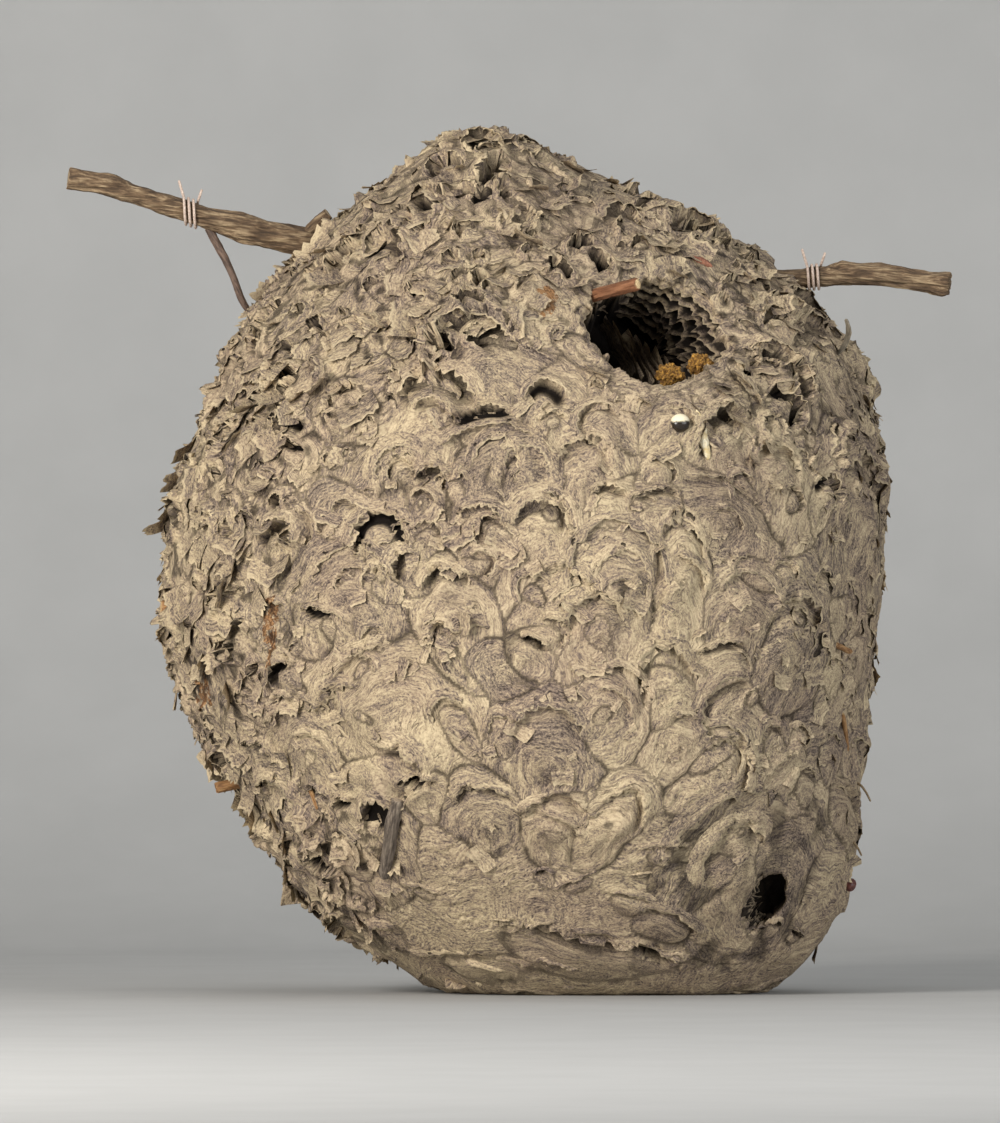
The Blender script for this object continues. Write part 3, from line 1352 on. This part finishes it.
@dataclass
class Skin:
    """The nest's continuous paper: two fine halves over the front and a coarser patchwork behind them.

    Attributes:
        turn: how far round from the front the fine halves reach, in radians.
        lowest: the lowest elevation that they reach, seen from the middle.
        highest: the highest.
        columns: cells across each half.
        rows: cells up each half.
        cells: cells along each edge of the six coarse patches.
    """

    turn: float = math.radians(80)
    lowest: float = math.radians(-62)
    highest: float = math.radians(66)
    columns: int = 188
    rows: int = 318
    cells: int = 88
    overlap: float = math.radians(1.6)

    def _settle(self, name: str, field_: HoodField, ways: np.ndarray, corners: np.ndarray, chart: np.ndarray,
                sink: np.ndarray) -> bpy.types.Mesh:
        """Lay a patch on the relief.

        Args:
            name: the mesh's name.
            field_: the hoods.
            ways: unit vectors from the middle of the nest.
            corners: the faces.
            chart: the faces' chart.
            sink: how far each point is pushed in.

        Returns:
            The patch's mesh.
        """
        feet, normals = field_.body.foot(field_.body.heart + ways)
        relief = field_.relief(feet, len(field_.levels))
        places = feet + normals * (relief["height"] - sink)[:, None]
        recess = relief["recess"]
        for pit in (HOLE_PIT, ENTRANCE_PIT):
            depth = pit.depth_at(feet)
            places += pit.into() * depth[:, None]
            recess = np.maximum(recess, smooth(0.004, 0.026, depth))
        places[:, 2] = np.maximum(places[:, 2], FLOOR_GAP)
        masks = {"band": relief["band"], "along": relief["along"], "tone": relief["tone"], "recess": recess,
                 "edge": np.zeros(len(feet)), "rust": relief["rust"]}
        return mesh_from_arrays(name, places, corners, masks, chart)

    def front(self, name: str, field_: HoodField, start: float, end: float) -> bpy.types.Mesh:
        """One fine half.

        Args:
            name: the mesh's name.
            field_: the hoods.
            start: the angle round from the front where it starts.
            end: where it ends.

        Returns:
            The half's mesh.
        """
        around = np.linspace(start, end, self.columns + 1)[None, :]
        lift = np.linspace(self.lowest, self.highest, self.rows + 1)[:, None]
        ways = np.stack(np.broadcast_arrays(np.sin(around) * np.cos(lift), -np.cos(around) * np.cos(lift),
                                            np.sin(lift)), axis=-1)[None]
        batch = GridBatch(ways)
        sink = np.zeros(ways.shape[1:3])
        sink[0, :] = sink[-1, :] = 0.0012
        sink[:, 0 if start < -0.1 else -1] = 0.0012
        chart = batch.chart().reshape(-1, 2)[batch.corners()]
        return self._settle(name, field_, ways.reshape(-1, 3), batch.corners(), chart, sink.ravel())

    def rest(self, field_: HoodField) -> bpy.types.Mesh:
        """The coarser patchwork over the back, top and bottom.

        Args:
            field_: the hoods.

        Returns:
            The patchwork's mesh.
        """
        steps = np.tan(np.linspace(-math.pi / 4, math.pi / 4, self.cells + 1))
        across, along = np.meshgrid(steps, steps)
        ones = np.ones_like(across)
        sides = [(ones, across, along), (-ones, -across, along), (-across, ones, along), (across, -ones, along),
                 (-along, across, ones), (along, across, -ones)]
        batch = GridBatch(np.stack([np.stack(side, axis=-1) for side in sides]))
        flat = np.round(unit(batch.points).reshape(-1, 3), 6)
        _, first, number = np.unique(flat, axis=0, return_index=True, return_inverse=True)
        corners = number.reshape(-1)[batch.corners()]
        ways = unit(batch.points).reshape(-1, 3)[first]
        inside = self._inside(ways)
        kept = ~np.all(inside[corners], axis=1)
        used = np.unique(corners[kept])
        renumbered = np.zeros(len(ways), dtype=int)
        renumbered[used] = np.arange(len(used))
        chart = batch.chart().reshape(-1, 2)[batch.corners()][kept]
        return self._settle("paper_skin", field_, ways[used], renumbered[corners[kept]], chart,
                            0.0006 * inside[used])

    def _inside(self, ways: np.ndarray) -> np.ndarray:
        """Which directions lie well inside the fine halves."""
        around = np.arctan2(ways[:, 0], -ways[:, 1])
        lift = np.arcsin(np.clip(ways[:, 2], -1.0, 1.0))
        return ((np.abs(around) < self.turn - self.overlap) & (lift > self.lowest + self.overlap)
                & (lift < self.highest - self.overlap))


@dataclass
class Pit:
    """A hole torn or built into the front of the paper.

    Attributes:
        centre: its middle on the body.
        roll: how far its long axis dips to the right, in radians.
        half_width: half its width, seen from the front.
        half_height: half its height, seen from the front.
        depth: how deep it goes.
        way: which way it leads in, before it is scaled to length 1.
        ragged: how torn its rim is.
    """

    centre: np.ndarray
    roll: float
    half_width: float
    half_height: float
    depth: float
    way: tuple[float, float, float]
    ragged: float = 1.0

    def into(self) -> np.ndarray:
        """The unit vector that leads into the pit."""
        return unit(np.array(self.way))

    def level(self, points: np.ndarray) -> np.ndarray:
        """How far points lie from the middle, seen from the front: 1 on the rim."""
        u, v = self.plane(points)
        wander = 0.16 * NOISE(points / 0.016) + 0.11 * NOISE(points / 0.006) + 0.03 * NOISE(points / 0.0032)
        taper = 1.0 - 0.22 * np.clip(-v, 0.0, 1.0)
        return np.hypot(u / taper, v) + self.ragged * wander

    def plane(self, points: np.ndarray) -> tuple[np.ndarray, np.ndarray]:
        """Points as shares of the half-width and half-height, seen from the front."""
        x = points[..., 0] - self.centre[0]
        z = points[..., 2] - self.centre[2]
        u = x * math.cos(self.roll) - z * math.sin(self.roll)
        v = x * math.sin(self.roll) + z * math.cos(self.roll)
        return u / self.half_width, v / self.half_height

    def place(self, body: NestBody, turn: np.ndarray, share: np.ndarray, depth: np.ndarray) -> np.ndarray:
        """Points at a turn round the pit, a share of the way to its rim and a depth under the body.

        Args:
            body: the smooth body.
            turn: angles from the pit's long axis.
            share: 0 at the middle and 1 on the rim.
            depth: how far in.

        Returns:
            The points.
        """
        v = share * np.sin(turn)
        u = share * np.cos(turn) * (1.0 - 0.22 * np.clip(-v, 0.0, 1.0))
        u, v = u * self.half_width, v * self.half_height
        x = self.centre[0] + u * math.cos(self.roll) + v * math.sin(self.roll)
        z = self.centre[2] - u * math.sin(self.roll) + v * math.cos(self.roll)
        return body.front(x, z) + self.into() * depth[..., None]

    def depth_at(self, points: np.ndarray) -> np.ndarray:
        """How deep the pit is at points on the body."""
        near = np.linalg.norm(points - self.centre, axis=-1) < 2.0 * self.half_width
        return self.depth * smooth(1.0, 0.86, self.level(points)) * near


@dataclass
class PitLining:
    """What shows inside a pit: the broken edges of the paper's layers and the sheets behind them.

    Attributes:
        body: the smooth body.
        pit: the hole that is lined.
        count: how many broken layers there are.
        pitch: how far each lies behind the one before.
        step: how much further in each reaches on the open side, as a share of the pit's width.
        tear: how ragged the edges are, in the same shares.
        open_turn: the side where the layers reach furthest in, as an angle from the pit's long axis.
        columns: columns of points round each layer.
        rows: rows of points from its root to its edge.
    """

    body: NestBody
    pit: Pit
    count: int = 7
    pitch: float = 0.0085
    step: float = 0.105
    tear: float = 0.120
    open_turn: float = math.radians(42)
    columns: int = 170
    rows: int = 7

    def layers(self) -> GridBatch:
        """The torn layers, which reach further in at the upper right the deeper they lie.

        Returns:
            The grids.
        """
        layer = np.arange(self.count)[:, None, None]
        share = np.concatenate([np.linspace(0.0, 1.0, self.rows), [1.0]])[None, :, None]
        turn = np.linspace(0.0, math.tau, self.columns)[None, None, :]
        still = 0.0 * (layer + share + turn)
        ring = np.stack([np.cos(turn) * 4.0 + still, np.sin(turn) * 4.0 + still, layer * 3.7 + still], axis=-1)
        tear = NOISE(ring * 1.1) * 0.8 + NOISE(ring * 2.6) * 0.5 + NOISE(ring * 6.0) * 0.3
        away = np.abs((turn - self.open_turn + math.pi) % math.tau - math.pi)
        lobe = smooth(1.9, 0.3, away)
        reach = 0.06 + self.step * layer * lobe + (0.066 + self.tear * lobe) * tear
        free = 1.0 - np.clip(reach, 0.01, 0.80)
        root = np.maximum(free + 0.16, 1.06)
        distance = root + (free - root) * share
        droop = 0.0045 * share ** 2 + 0.0030 * NOISE(ring * 1.2 + 5.0) + 0.0016 * NOISE(ring * 3.4)
        depth = 0.0008 + self.pitch * layer + droop
        depth[:, -1] += 0.0012
        points = self.pit.place(self.body, turn + still, distance, depth)
        dark = smooth(0.000, 0.052, depth)
        rims = np.concatenate([np.linspace(0.0, 1.0, self.rows) ** 6, [0.6]])[None, :, None]
        masks = {"band": distance * 0.03 + layer * 0.05, "along": turn * 0.02 + still, "tone": layer * 0.09 + still,
                 "recess": np.clip(dark * 0.34 + 0.92 * smooth(0.02, 0.085, distance - free) * (layer > 0), 0.0, 1.0),
                 "edge": rims * (1.0 - 0.6 * dark) * 0.9 + still, "rust": still}
        return GridBatch(points, masks)

    def inner_sheets(self) -> GridBatch:
        """The slanting sheets across the bottom of the hole.

        Returns:
            The grids.
        """
        count = 7
        sheet = np.arange(count)[:, None, None]
        share = np.linspace(0.0, 1.0, 8)[None, :, None]
        run = np.linspace(0.0, 1.0, 22)[None, None, :]
        still = 0.0 * (sheet + share + run)
        grain = np.stack([run * 3.0 + still, share * 1.5 + still, sheet * 5.3 + still], axis=-1)
        u = -0.62 + 0.15 * sheet + 0.55 * run + 0.06 * NOISE(grain)
        v = 0.32 - 0.85 * run - 0.06 * sheet + 0.16 * share + 0.06 * NOISE(grain + 9.0)
        level = np.hypot(u, v)
        limit = np.minimum(1.0, 0.90 / np.maximum(level, 1e-6))
        depth = 0.040 + 0.0015 * sheet + 0.016 * (1.0 - share) + 0.0025 * NOISE(grain * 1.7 + 2.0)
        points = self.pit.place(self.body, np.arctan2(v, u), level * limit, depth)
        edge = smooth(0.82, 1.0, share) + still
        masks = {"band": share * 0.012 + sheet * 0.07 + still, "along": run * 0.03 + still,
                 "tone": sheet * 0.11 + still, "recess": 0.05 + 0.50 * (1.0 - share) + still,
                 "edge": 0.55 * edge, "rust": still}
        return GridBatch(points, masks)


@dataclass
class Flakes:
    """Torn scraps of paper that stand off the nest.

    Attributes:
        seed: picks the pattern.
        count: how many there are.
        longest: the longest scrap in metres.
        rows: rows of points from root to tip.
        columns: columns of points across.
        sound_share: how readily they grow on sound paper.
        sound_size: how long they are on sound paper, as a share of those on torn paper.
        breadth: the least and the extra half-width, as shares of the length.
        rise: the least and the extra angle that a scrap stands off at its root, in radians.
        curl: the least and the extra bend from root to tip, in radians.
        lies: whether a scrap follows the relief under it.
    """

    seed: int
    count: int
    longest: float = 0.017
    rows: int = 6
    columns: int = 10
    sound_share: float = 0.20
    sound_size: float = 0.45
    breadth: tuple[float, float] = (0.30, 0.45)
    rise: tuple[float, float] = (0.05, 0.50)
    curl: tuple[float, float] = (-0.6, 1.7)
    lies: bool = False

    def batch(self, field_: HoodField) -> GridBatch:
        """Work out every scrap.

        Args:
            field_: the relief that the scraps grow from.

        Returns:
            The grids.
        """
        rng = np.random.default_rng(self.seed)
        tries = self.count * 12
        points, normals = field_.body.foot(field_.body.heart + unit(rng.normal(size=(tries, 3))))
        clear = (HOLE_PIT.level(points) > 1.05) & (ENTRANCE_PIT.level(points) > 1.1)
        for hang in (0.0, 0.004, 0.008):
            clear &= rust_share(points - np.array([0.0, 0.0, hang])) < 0.05
        sound = self.sound_share * (1.0 - 0.85 * banded_share(points))
        grown = rng.random(tries) < sound + torn_share(points) ** 1.5
        chosen = np.flatnonzero(grown & clear)[:self.count]
        points, normals = points[chosen], normals[chosen]
        count = len(points)
        side, up = tangent_axes(normals, rng.normal(0.0, 0.75, count))
        grow = rng.random((6, count))[:, :, None, None]
        torn = torn_share(points)[:, None, None]
        length = (0.004 + (self.longest - 0.004) * grow[0] ** 2) * (self.sound_size + (1.0 - self.sound_size) * torn)
        half = length * (self.breadth[0] + self.breadth[1] * grow[1])
        along = np.linspace(0.0, 1.0, self.rows)[None, :, None]
        across = np.linspace(-1.0, 1.0, self.columns)[None, None, :]
        still = 0.0 * (length + along + across)
        seeds = np.arange(count)[:, None, None] * 7.31
        jag = NOISE(np.stack([across * 2.6 + still, along * 1.2 + still, seeds + still], axis=-1))
        rise = self.rise[0] + self.rise[1] * grow[2] ** 2
        bend = rise + (self.curl[0] + self.curl[1] * grow[3]) * along
        notch = NOISE(np.stack([across * 6.5 + still, still + 4.0, seeds + still], axis=-1))
        step = length / (self.rows - 1) * (1.0 + 0.45 * jag * along + 0.40 * notch * along ** 2)
        fall = np.cumsum(np.cos(bend) * step, axis=1) - step * np.cos(bend)
        lift = np.cumsum(np.sin(bend) * step, axis=1) - step * np.sin(bend)
        cup = (grow[4] - 0.35) * 0.5 * half * across ** 2
        width = half * (1.0 - 0.45 * along ** 2 * grow[5]) * (1.0 + 0.22 * jag)
        roots = field_.relief(points, len(field_.levels))
        ground = roots["height"][:, None, None] + still - 0.0009
        flat = (points[:, None, None] + side[:, None, None] * (width * across)[..., None]
                - up[:, None, None] * (fall + still)[..., None])
        out = normals[:, None, None] + still[..., None]
        if self.lies:
            flat, out = field_.body.foot(flat)
            under = field_.relief(flat.reshape(-1, 3), 2)["height"].reshape(still.shape)
            ground = np.maximum(under, ground) * 0.6 + under * 0.4 - 0.0012 + 0.0018 * smooth(0.0, 0.5, along)
        places = flat + out * (ground + lift + cup * along + 0.0004 * jag)[..., None]
        places[..., 2] = np.maximum(places[..., 2], FLOOR_GAP)
        tone = rng.random(count)[:, None, None]
        masks = {"band": along * length + tone * 0.5, "along": width * across, "tone": tone + still,
                 "recess": 0.30 * (1.0 - along) * (1.0 - self.lies) + still, "edge": along ** 9 + 0.25 * np.abs(across) ** 6 + still,
                 "rust": np.broadcast_to(rust_share(points)[:, None, None], still.shape)}
        return GridBatch(places, masks)


# ----------------------------------------------------------------------------------- wood, litter and twine

@dataclass
class FinePiece:
    """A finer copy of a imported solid, with grain and lumps in its surface.

    Attributes:
        node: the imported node.
        slot: the record's material slot.
        cuts: how many times its faces are halved.
        grain: the height of its lengthwise ridges.
        width: the width of a ridge.
        lumps: the height of its lumps.
        lump_size: the size of its lumps.
        stretch: how much longer than wide its ridges are.
        limit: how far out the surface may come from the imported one.
    """

    node: str
    slot: str
    cuts: int = 2
    grain: float = 0.0
    width: float = 0.002
    lumps: float = 0.0
    lump_size: float = 0.006
    stretch: float = 10.0
    limit: float = 0.0012

    def mesh(self) -> bpy.types.Mesh:
        """Make the finer mesh.

        Returns:
            The mesh, in the frame's metres.
        """
        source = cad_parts[self.node]
        shape = bmesh.new()
        shape.from_mesh(source.data)
        shape.transform(source.matrix_world)
        bmesh.ops.remove_doubles(shape, verts=shape.verts, dist=0.000002)
        for _ in range(self.cuts):
            bmesh.ops.subdivide_edges(shape, edges=shape.edges, cuts=1, use_grid_fill=True)
            bmesh.ops.smooth_vert(shape, verts=shape.verts, factor=0.35, use_axis_x=True, use_axis_y=True,
                                  use_axis_z=True)
        shape.normal_update()
        points = np.array([vert.co for vert in shape.verts])
        normals = np.array([vert.normal for vert in shape.verts])
        middle = points.mean(axis=0)
        axes = np.linalg.svd(points - middle, full_matrices=False)[2]
        local = (points - middle) @ axes.T
        facing = np.abs(normals @ axes[0])
        ends = np.abs(local[:, 0]) > 0.93 * np.abs(local[:, 0]).max()
        cut = smooth(0.80, 0.93, facing) * ends
        stretched = np.stack([local[:, 1], local[:, 2], local[:, 0] / self.stretch], axis=-1) / self.width
        rough = self.grain * (NOISE(stretched) + 0.5 * NOISE(stretched * 2.1)) * (1.0 - cut)
        rough += self.lumps * NOISE.layered(points / self.lump_size, 3)
        points = points + normals * np.clip(rough, -3.0 * self.limit, self.limit)[:, None]
        points[:, 2] = np.maximum(points[:, 2], FLOOR_GAP)
        mesh = bpy.data.meshes.new(f"{self.node}_fine")
        shape.to_mesh(mesh)
        shape.free()
        mesh.vertices.foreach_set("co", points.astype(np.float32).ravel())
        mesh.update()
        mesh.shade_smooth()
        for name, numbers in self._masks(points, local, cut).items():
            layer = mesh.attributes.new(name, "FLOAT", "POINT")
            layer.data.foreach_set("value", numbers.astype(np.float32))
        return mesh

    @staticmethod
    def _masks(points: np.ndarray, local: np.ndarray, cut: np.ndarray) -> dict[str, np.ndarray]:
        """The numbers that the finishes read.

        Args:
            points: the finished points.
            local: the points along and across the piece.
            cut: how far each point belongs to a cut end.

        Returns:
            Named numbers, one for each point.
        """
        ring = np.zeros(len(points))
        for sign in (-1.0, 1.0):
            near = (cut > 0.3) & (local[:, 0] * sign > 0.0)
            if near.any():
                ring[near] = np.linalg.norm(points[near] - points[near].mean(axis=0), axis=1)
        height = points[:, 2] - points[:, 2].mean()
        still = np.zeros(len(points))
        return {"along": local[:, 0], "across": local[:, 1], "third": local[:, 2], "cut": cut, "ring": ring,
                "rise": height / np.abs(height).max(), "band": local[:, 1], "tone": still + 0.4,
                "recess": still, "edge": still, "rust": still}

    def build(self, material: bpy.types.Material) -> bpy.types.Object:
        """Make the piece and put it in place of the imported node.

        Args:
            material: its finish.

        Returns:
            The new object.
        """
        return add_piece(f"{self.node}_fine", self.mesh(), material, (self.node,))


def make_small_pieces(effects: Effects, paper: bpy.types.Material) -> None:
    """Build the wood, the litter, the twine and the two loose flaps.

    Args:
        effects: the shared groups.
        paper: the paper's finish.
    """
    bark = BARK.material(effects)
    young = YOUNG_BARK.material(effects)
    weathered = WEATHERED.material(effects)
    golden = GOLDEN.material(effects)
    needle = NEEDLE.material(effects)
    husk = DARK_HUSK.material(effects)
    pulp = OCHRE_PULP.material(effects)
    twine = TWINE.material(effects)
    pieces = [
        (FinePiece("main_branch", "bark", 3, 0.00085, 0.0026, 0.0007, 0.008, 12.0), bark),
        (FinePiece("branch_stub", "bark", 3, 0.00035, 0.0018, 0.0004, 0.004), bark),
        (FinePiece("fork_twig", "young_bark", 3, 0.00012, 0.0010, 0.00025, 0.005), young),
        (FinePiece("hole_twig", "young_bark", 3, 0.00015, 0.0012, 0.0002, 0.004), RED_SHOOT.material(effects)),
        (FinePiece("left_stub_upper", "golden_twig", 3, 0.0002, 0.0014, 0.0002, 0.004), golden),
        (FinePiece("left_stub_lower", "golden_twig", 3, 0.0002, 0.0014, 0.0002, 0.004), golden),
        (FinePiece("furrow_twig", "weathered_twig", 3, 0.0004, 0.0014, 0.0003, 0.006), weathered),
        (FinePiece("splinter_twig", "golden_twig", 2, 0.0001, 0.0010, 0.0002, 0.003), golden),
        (FinePiece("right_twig_upper", "golden_twig", 2, 0.0001, 0.0010, 0.0002, 0.003), golden),
        (FinePiece("right_twig_lower", "golden_twig", 2, 0.0001, 0.0010, 0.0002, 0.003), golden),
        (FinePiece("needle_long", "needle", 2), needle),
        (FinePiece("needle_short", "needle", 2), needle),
        (FinePiece("leaf_stalk", "dry_leaf", 3, lumps=0.0008, lump_size=0.004), DRY_LEAF.material(effects)),
        (FinePiece("brown_bud", "dark_husk", 1, lumps=0.0004, lump_size=0.002), husk),
        (FinePiece("dark_seed", "dark_husk", 1, lumps=0.0003, lump_size=0.002), husk),
        (FinePiece("bark_chip", "red_bark", 2, lumps=0.0006, lump_size=0.002), RED_BARK.material(effects)),
        (FinePiece("glossy_bead", "dark_gloss", 2, lumps=0.0002, lump_size=0.004), BeadFinish().material(effects)),
        (FinePiece("resin_streak", "cream_resin", 2, lumps=0.0010, lump_size=0.003), CREAM_RESIN.material(effects)),
        (FinePiece("pulp_lump_low", "ochre_pulp", 4, lumps=0.0034, lump_size=0.0026, limit=0.0026), pulp),
        (FinePiece("pulp_lump_high", "ochre_pulp", 4, lumps=0.0034, lump_size=0.0026, limit=0.0026), pulp),
        (FinePiece("tie_left", "twine", 1), twine),
        (FinePiece("tie_right", "twine", 1), twine),
        (FinePiece("flap_back", "paper", 4, lumps=0.0016, lump_size=0.007), paper),
        (FinePiece("flap_bottom", "paper", 3, lumps=0.0014, lump_size=0.005), paper),
    ]
    for piece, material in pieces:
        piece.build(material)


# ---------------------------------------------------------------------------------------------- the studio

@dataclass
class Studio:
    """The floor, the lights and the camera.

    Attributes:
        centre_x: where the camera looks, across.
        centre_z: where the camera looks, and its height.
        view_width: how much the picture takes in across the nest's middle.
        distance: from the camera to the nest's middle.
    """

    centre_x: float = -0.010
    centre_z: float = 0.2155
    view_width: float = 0.500
    distance: float = 9.00
    sensor: float = 36.0

    def backdrop(self) -> None:
        """A pale floor that curves up into a wall."""
        profile = [(-3.0, 0.0), (0.9, 0.0)]
        profile += [(0.9 + 0.6 * math.sin(a), 0.6 - 0.6 * math.cos(a)) for a in np.linspace(0.1, math.pi / 2, 14)]
        profile.append((1.5, 3.2))
        y, z = np.array(profile).T
        x = np.linspace(-3.0, 3.0, 2)
        points = np.stack(np.broadcast_arrays(x[None, :], y[:, None], z[:, None]), axis=-1)[None]
        mesh = mesh_from_batch("backdrop", GridBatch(points))
        material, graph, shader = new_material("backdrop_paint")
        place = graph.add("ShaderNodeTexCoord").outputs["Object"]
        tone = graph.span(graph.noise(place, 14.0, 4.0), 0.2, 0.8)
        graph.tree.links.new(graph.blend(tone, (0.415, 0.42, 0.415, 1.0), (0.445, 0.45, 0.445, 1.0)),
                             shader.inputs["Base Color"])
        shader.inputs["Roughness"].default_value = 0.85
        mesh.materials.append(material)
        stage = bpy.data.objects.new("backdrop", mesh)
        bpy.context.scene.collection.objects.link(stage)

    @staticmethod
    def lamp(name: str, place: tuple[float, float, float], size: float, power: float,
             colour: tuple[float, float, float]) -> None:
        """Add a square soft light that faces the nest.

        Args:
            name: its name.
            place: where it hangs.
            size: the length of its side.
            power: in watts.
            colour: its colour.
        """
        light = bpy.data.lights.new(name, "AREA")
        light.size = size
        light.energy = power
        light.color = colour
        lamp = bpy.data.objects.new(name, light)
        lamp.location = place
        lamp.rotation_euler = (Vector((0.0, 0.0, 0.22)) - Vector(place)).to_track_quat("-Z", "Y").to_euler()
        bpy.context.scene.collection.objects.link(lamp)

    def build(self) -> None:
        """Set up the floor, lights, world and camera."""
        self.backdrop()
        self.lamp("key", (-1.25, -2.0, 1.15), 0.6, 46.0, (1.0, 0.955, 0.90))
        self.lamp("low_left", (-1.5, -1.9, 0.05), 0.9, 44.0, (1.0, 0.96, 0.92))
        self.lamp("fill", (1.7, -1.8, 0.5), 1.6, 33.0, (0.95, 0.97, 1.0))
        self.lamp("top", (0.2, 0.2, 2.2), 1.6, 9.0, (1.0, 0.99, 0.97))
        world = bpy.data.worlds.new("soft_room")
        world.use_nodes = True
        world.node_tree.nodes["Background"].inputs["Color"].default_value = (0.84, 0.84, 0.84, 1.0)
        world.node_tree.nodes["Background"].inputs["Strength"].default_value = 0.30
        bpy.context.scene.world = world
        bpy.context.scene.view_settings.view_transform = "Standard"
        camera = bpy.data.cameras.new("camera")
        camera.sensor_fit = "HORIZONTAL"
        camera.sensor_width = self.sensor
        camera.lens = self.sensor * self.distance / self.view_width
        camera.clip_end = 40.0
        stand = bpy.data.objects.new("camera", camera)
        stand.location = (self.centre_x, -self.distance, self.centre_z)
        stand.rotation_euler = (math.radians(90), 0.0, 0.0)
        bpy.context.scene.collection.objects.link(stand)
        bpy.context.scene.camera = stand


# ------------------------------------------------------------------------------------------------- the nest

BODY = NestBody(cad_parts["paper_envelope"])
HOLE_PIT = Pit(BODY.front(0.0665, 0.3285), math.radians(14), 0.0375, 0.0265, 0.072, (-0.12, 1.0, -0.22))
ENTRANCE_PIT = Pit(BODY.front(0.1210, 0.0470), math.radians(-54), 0.0158, 0.0098, 0.024, (0.1, 1.0, 0.15), 1.6)
HOLE_CENTRE = HOLE_PIT.centre
FLAT_SCRAPS = Flakes(22, 1150, 0.0140, 5, 10, 0.62, 0.85, (0.32, 0.66), (0.02, 0.12), (-0.30, 0.66), True)


def main() -> None:
    """Build every piece in order."""
    logging.basicConfig(level=logging.INFO, format="%(name)s: %(message)s")
    effects = Effects()
    paper = PaperFinish().material(effects)
    face = face_hoods(BODY)
    keep_clear = [(HOLE_PIT.centre, 0.045), (ENTRANCE_PIT.centre, 0.018)]
    keep_clear += list(zip(face.focus, face.outer * 0.8))
    large = face.joined(HoodScatter(11, 130, 4000, (0.022, 0.040, 0.050), (0.0044, 0.0026, 0.0022),
                                    (0.0070, 0.0024, 0.0018), 0.84).scatter(BODY, keep_clear))
    medium = HoodScatter(12, 360, 9000, (0.0120, 0.0190, 0.0220), (0.0036, 0.0013, 0.0012),
                         (0.0068, 0.0015, 0.0012), 0.98).scatter(BODY, keep_clear[:2])
    small = HoodScatter(13, 420, 16000, (0.0062, 0.0070, 0.0080), (0.0026, 0.0010, 0.0010),
                        (0.0062, 0.0020, 0.0014), 1.10, torn_only=True).scatter(BODY, keep_clear[:2])
    field_ = HoodField(BODY, [large, medium, small])
    skin = Skin()
    add_piece("paper_skin", skin.rest(field_), paper, ("paper_envelope",))
    add_piece("paper_front_left", skin.front("paper_front_left", field_, -skin.turn, 0.0), paper)
    add_piece("paper_front_right", skin.front("paper_front_right", field_, 0.0, skin.turn), paper)
    for name, hoods, rows, columns, depth in (
            ("large_lips", large, 6, 56, 0.010), ("medium_lips", medium, 5, 28, 0.006),
            ("small_lips", small, 4, 15, 0.003)):
        seen = hoods.normal[:, 1] < 0.25
        for part, chosen, detail in (("front", seen, 1.0), ("back", ~seen, 0.4)):
            lips = LipSheets(hoods.pick(chosen), rows, max(int(columns * detail), 9), depth)
            add_piece(f"{name}_{part}", mesh_from_batch(f"{name}_{part}", lips.batch(field_)), paper)
    for name, flakes in (("torn_flakes", Flakes(21, 1400)), ("flat_scraps", FLAT_SCRAPS)):
        add_piece(name, mesh_from_batch(name, flakes.batch(field_)), paper)
    hole = PitLining(BODY, HOLE_PIT)
    entrance = PitLining(BODY, ENTRANCE_PIT, 4, 0.0045, 0.16, 0.30, math.radians(150), 90)
    add_piece("entrance_layers", mesh_from_batch("entrance_layers", entrance.layers()), paper)
    add_piece("hole_layers", mesh_from_batch("hole_layers", hole.layers()), paper)
    add_piece("hole_sheets", mesh_from_batch("hole_sheets", hole.inner_sheets()), paper)
    make_small_pieces(effects, paper)
    Studio().build()


if __name__ == "__main__":
    main()
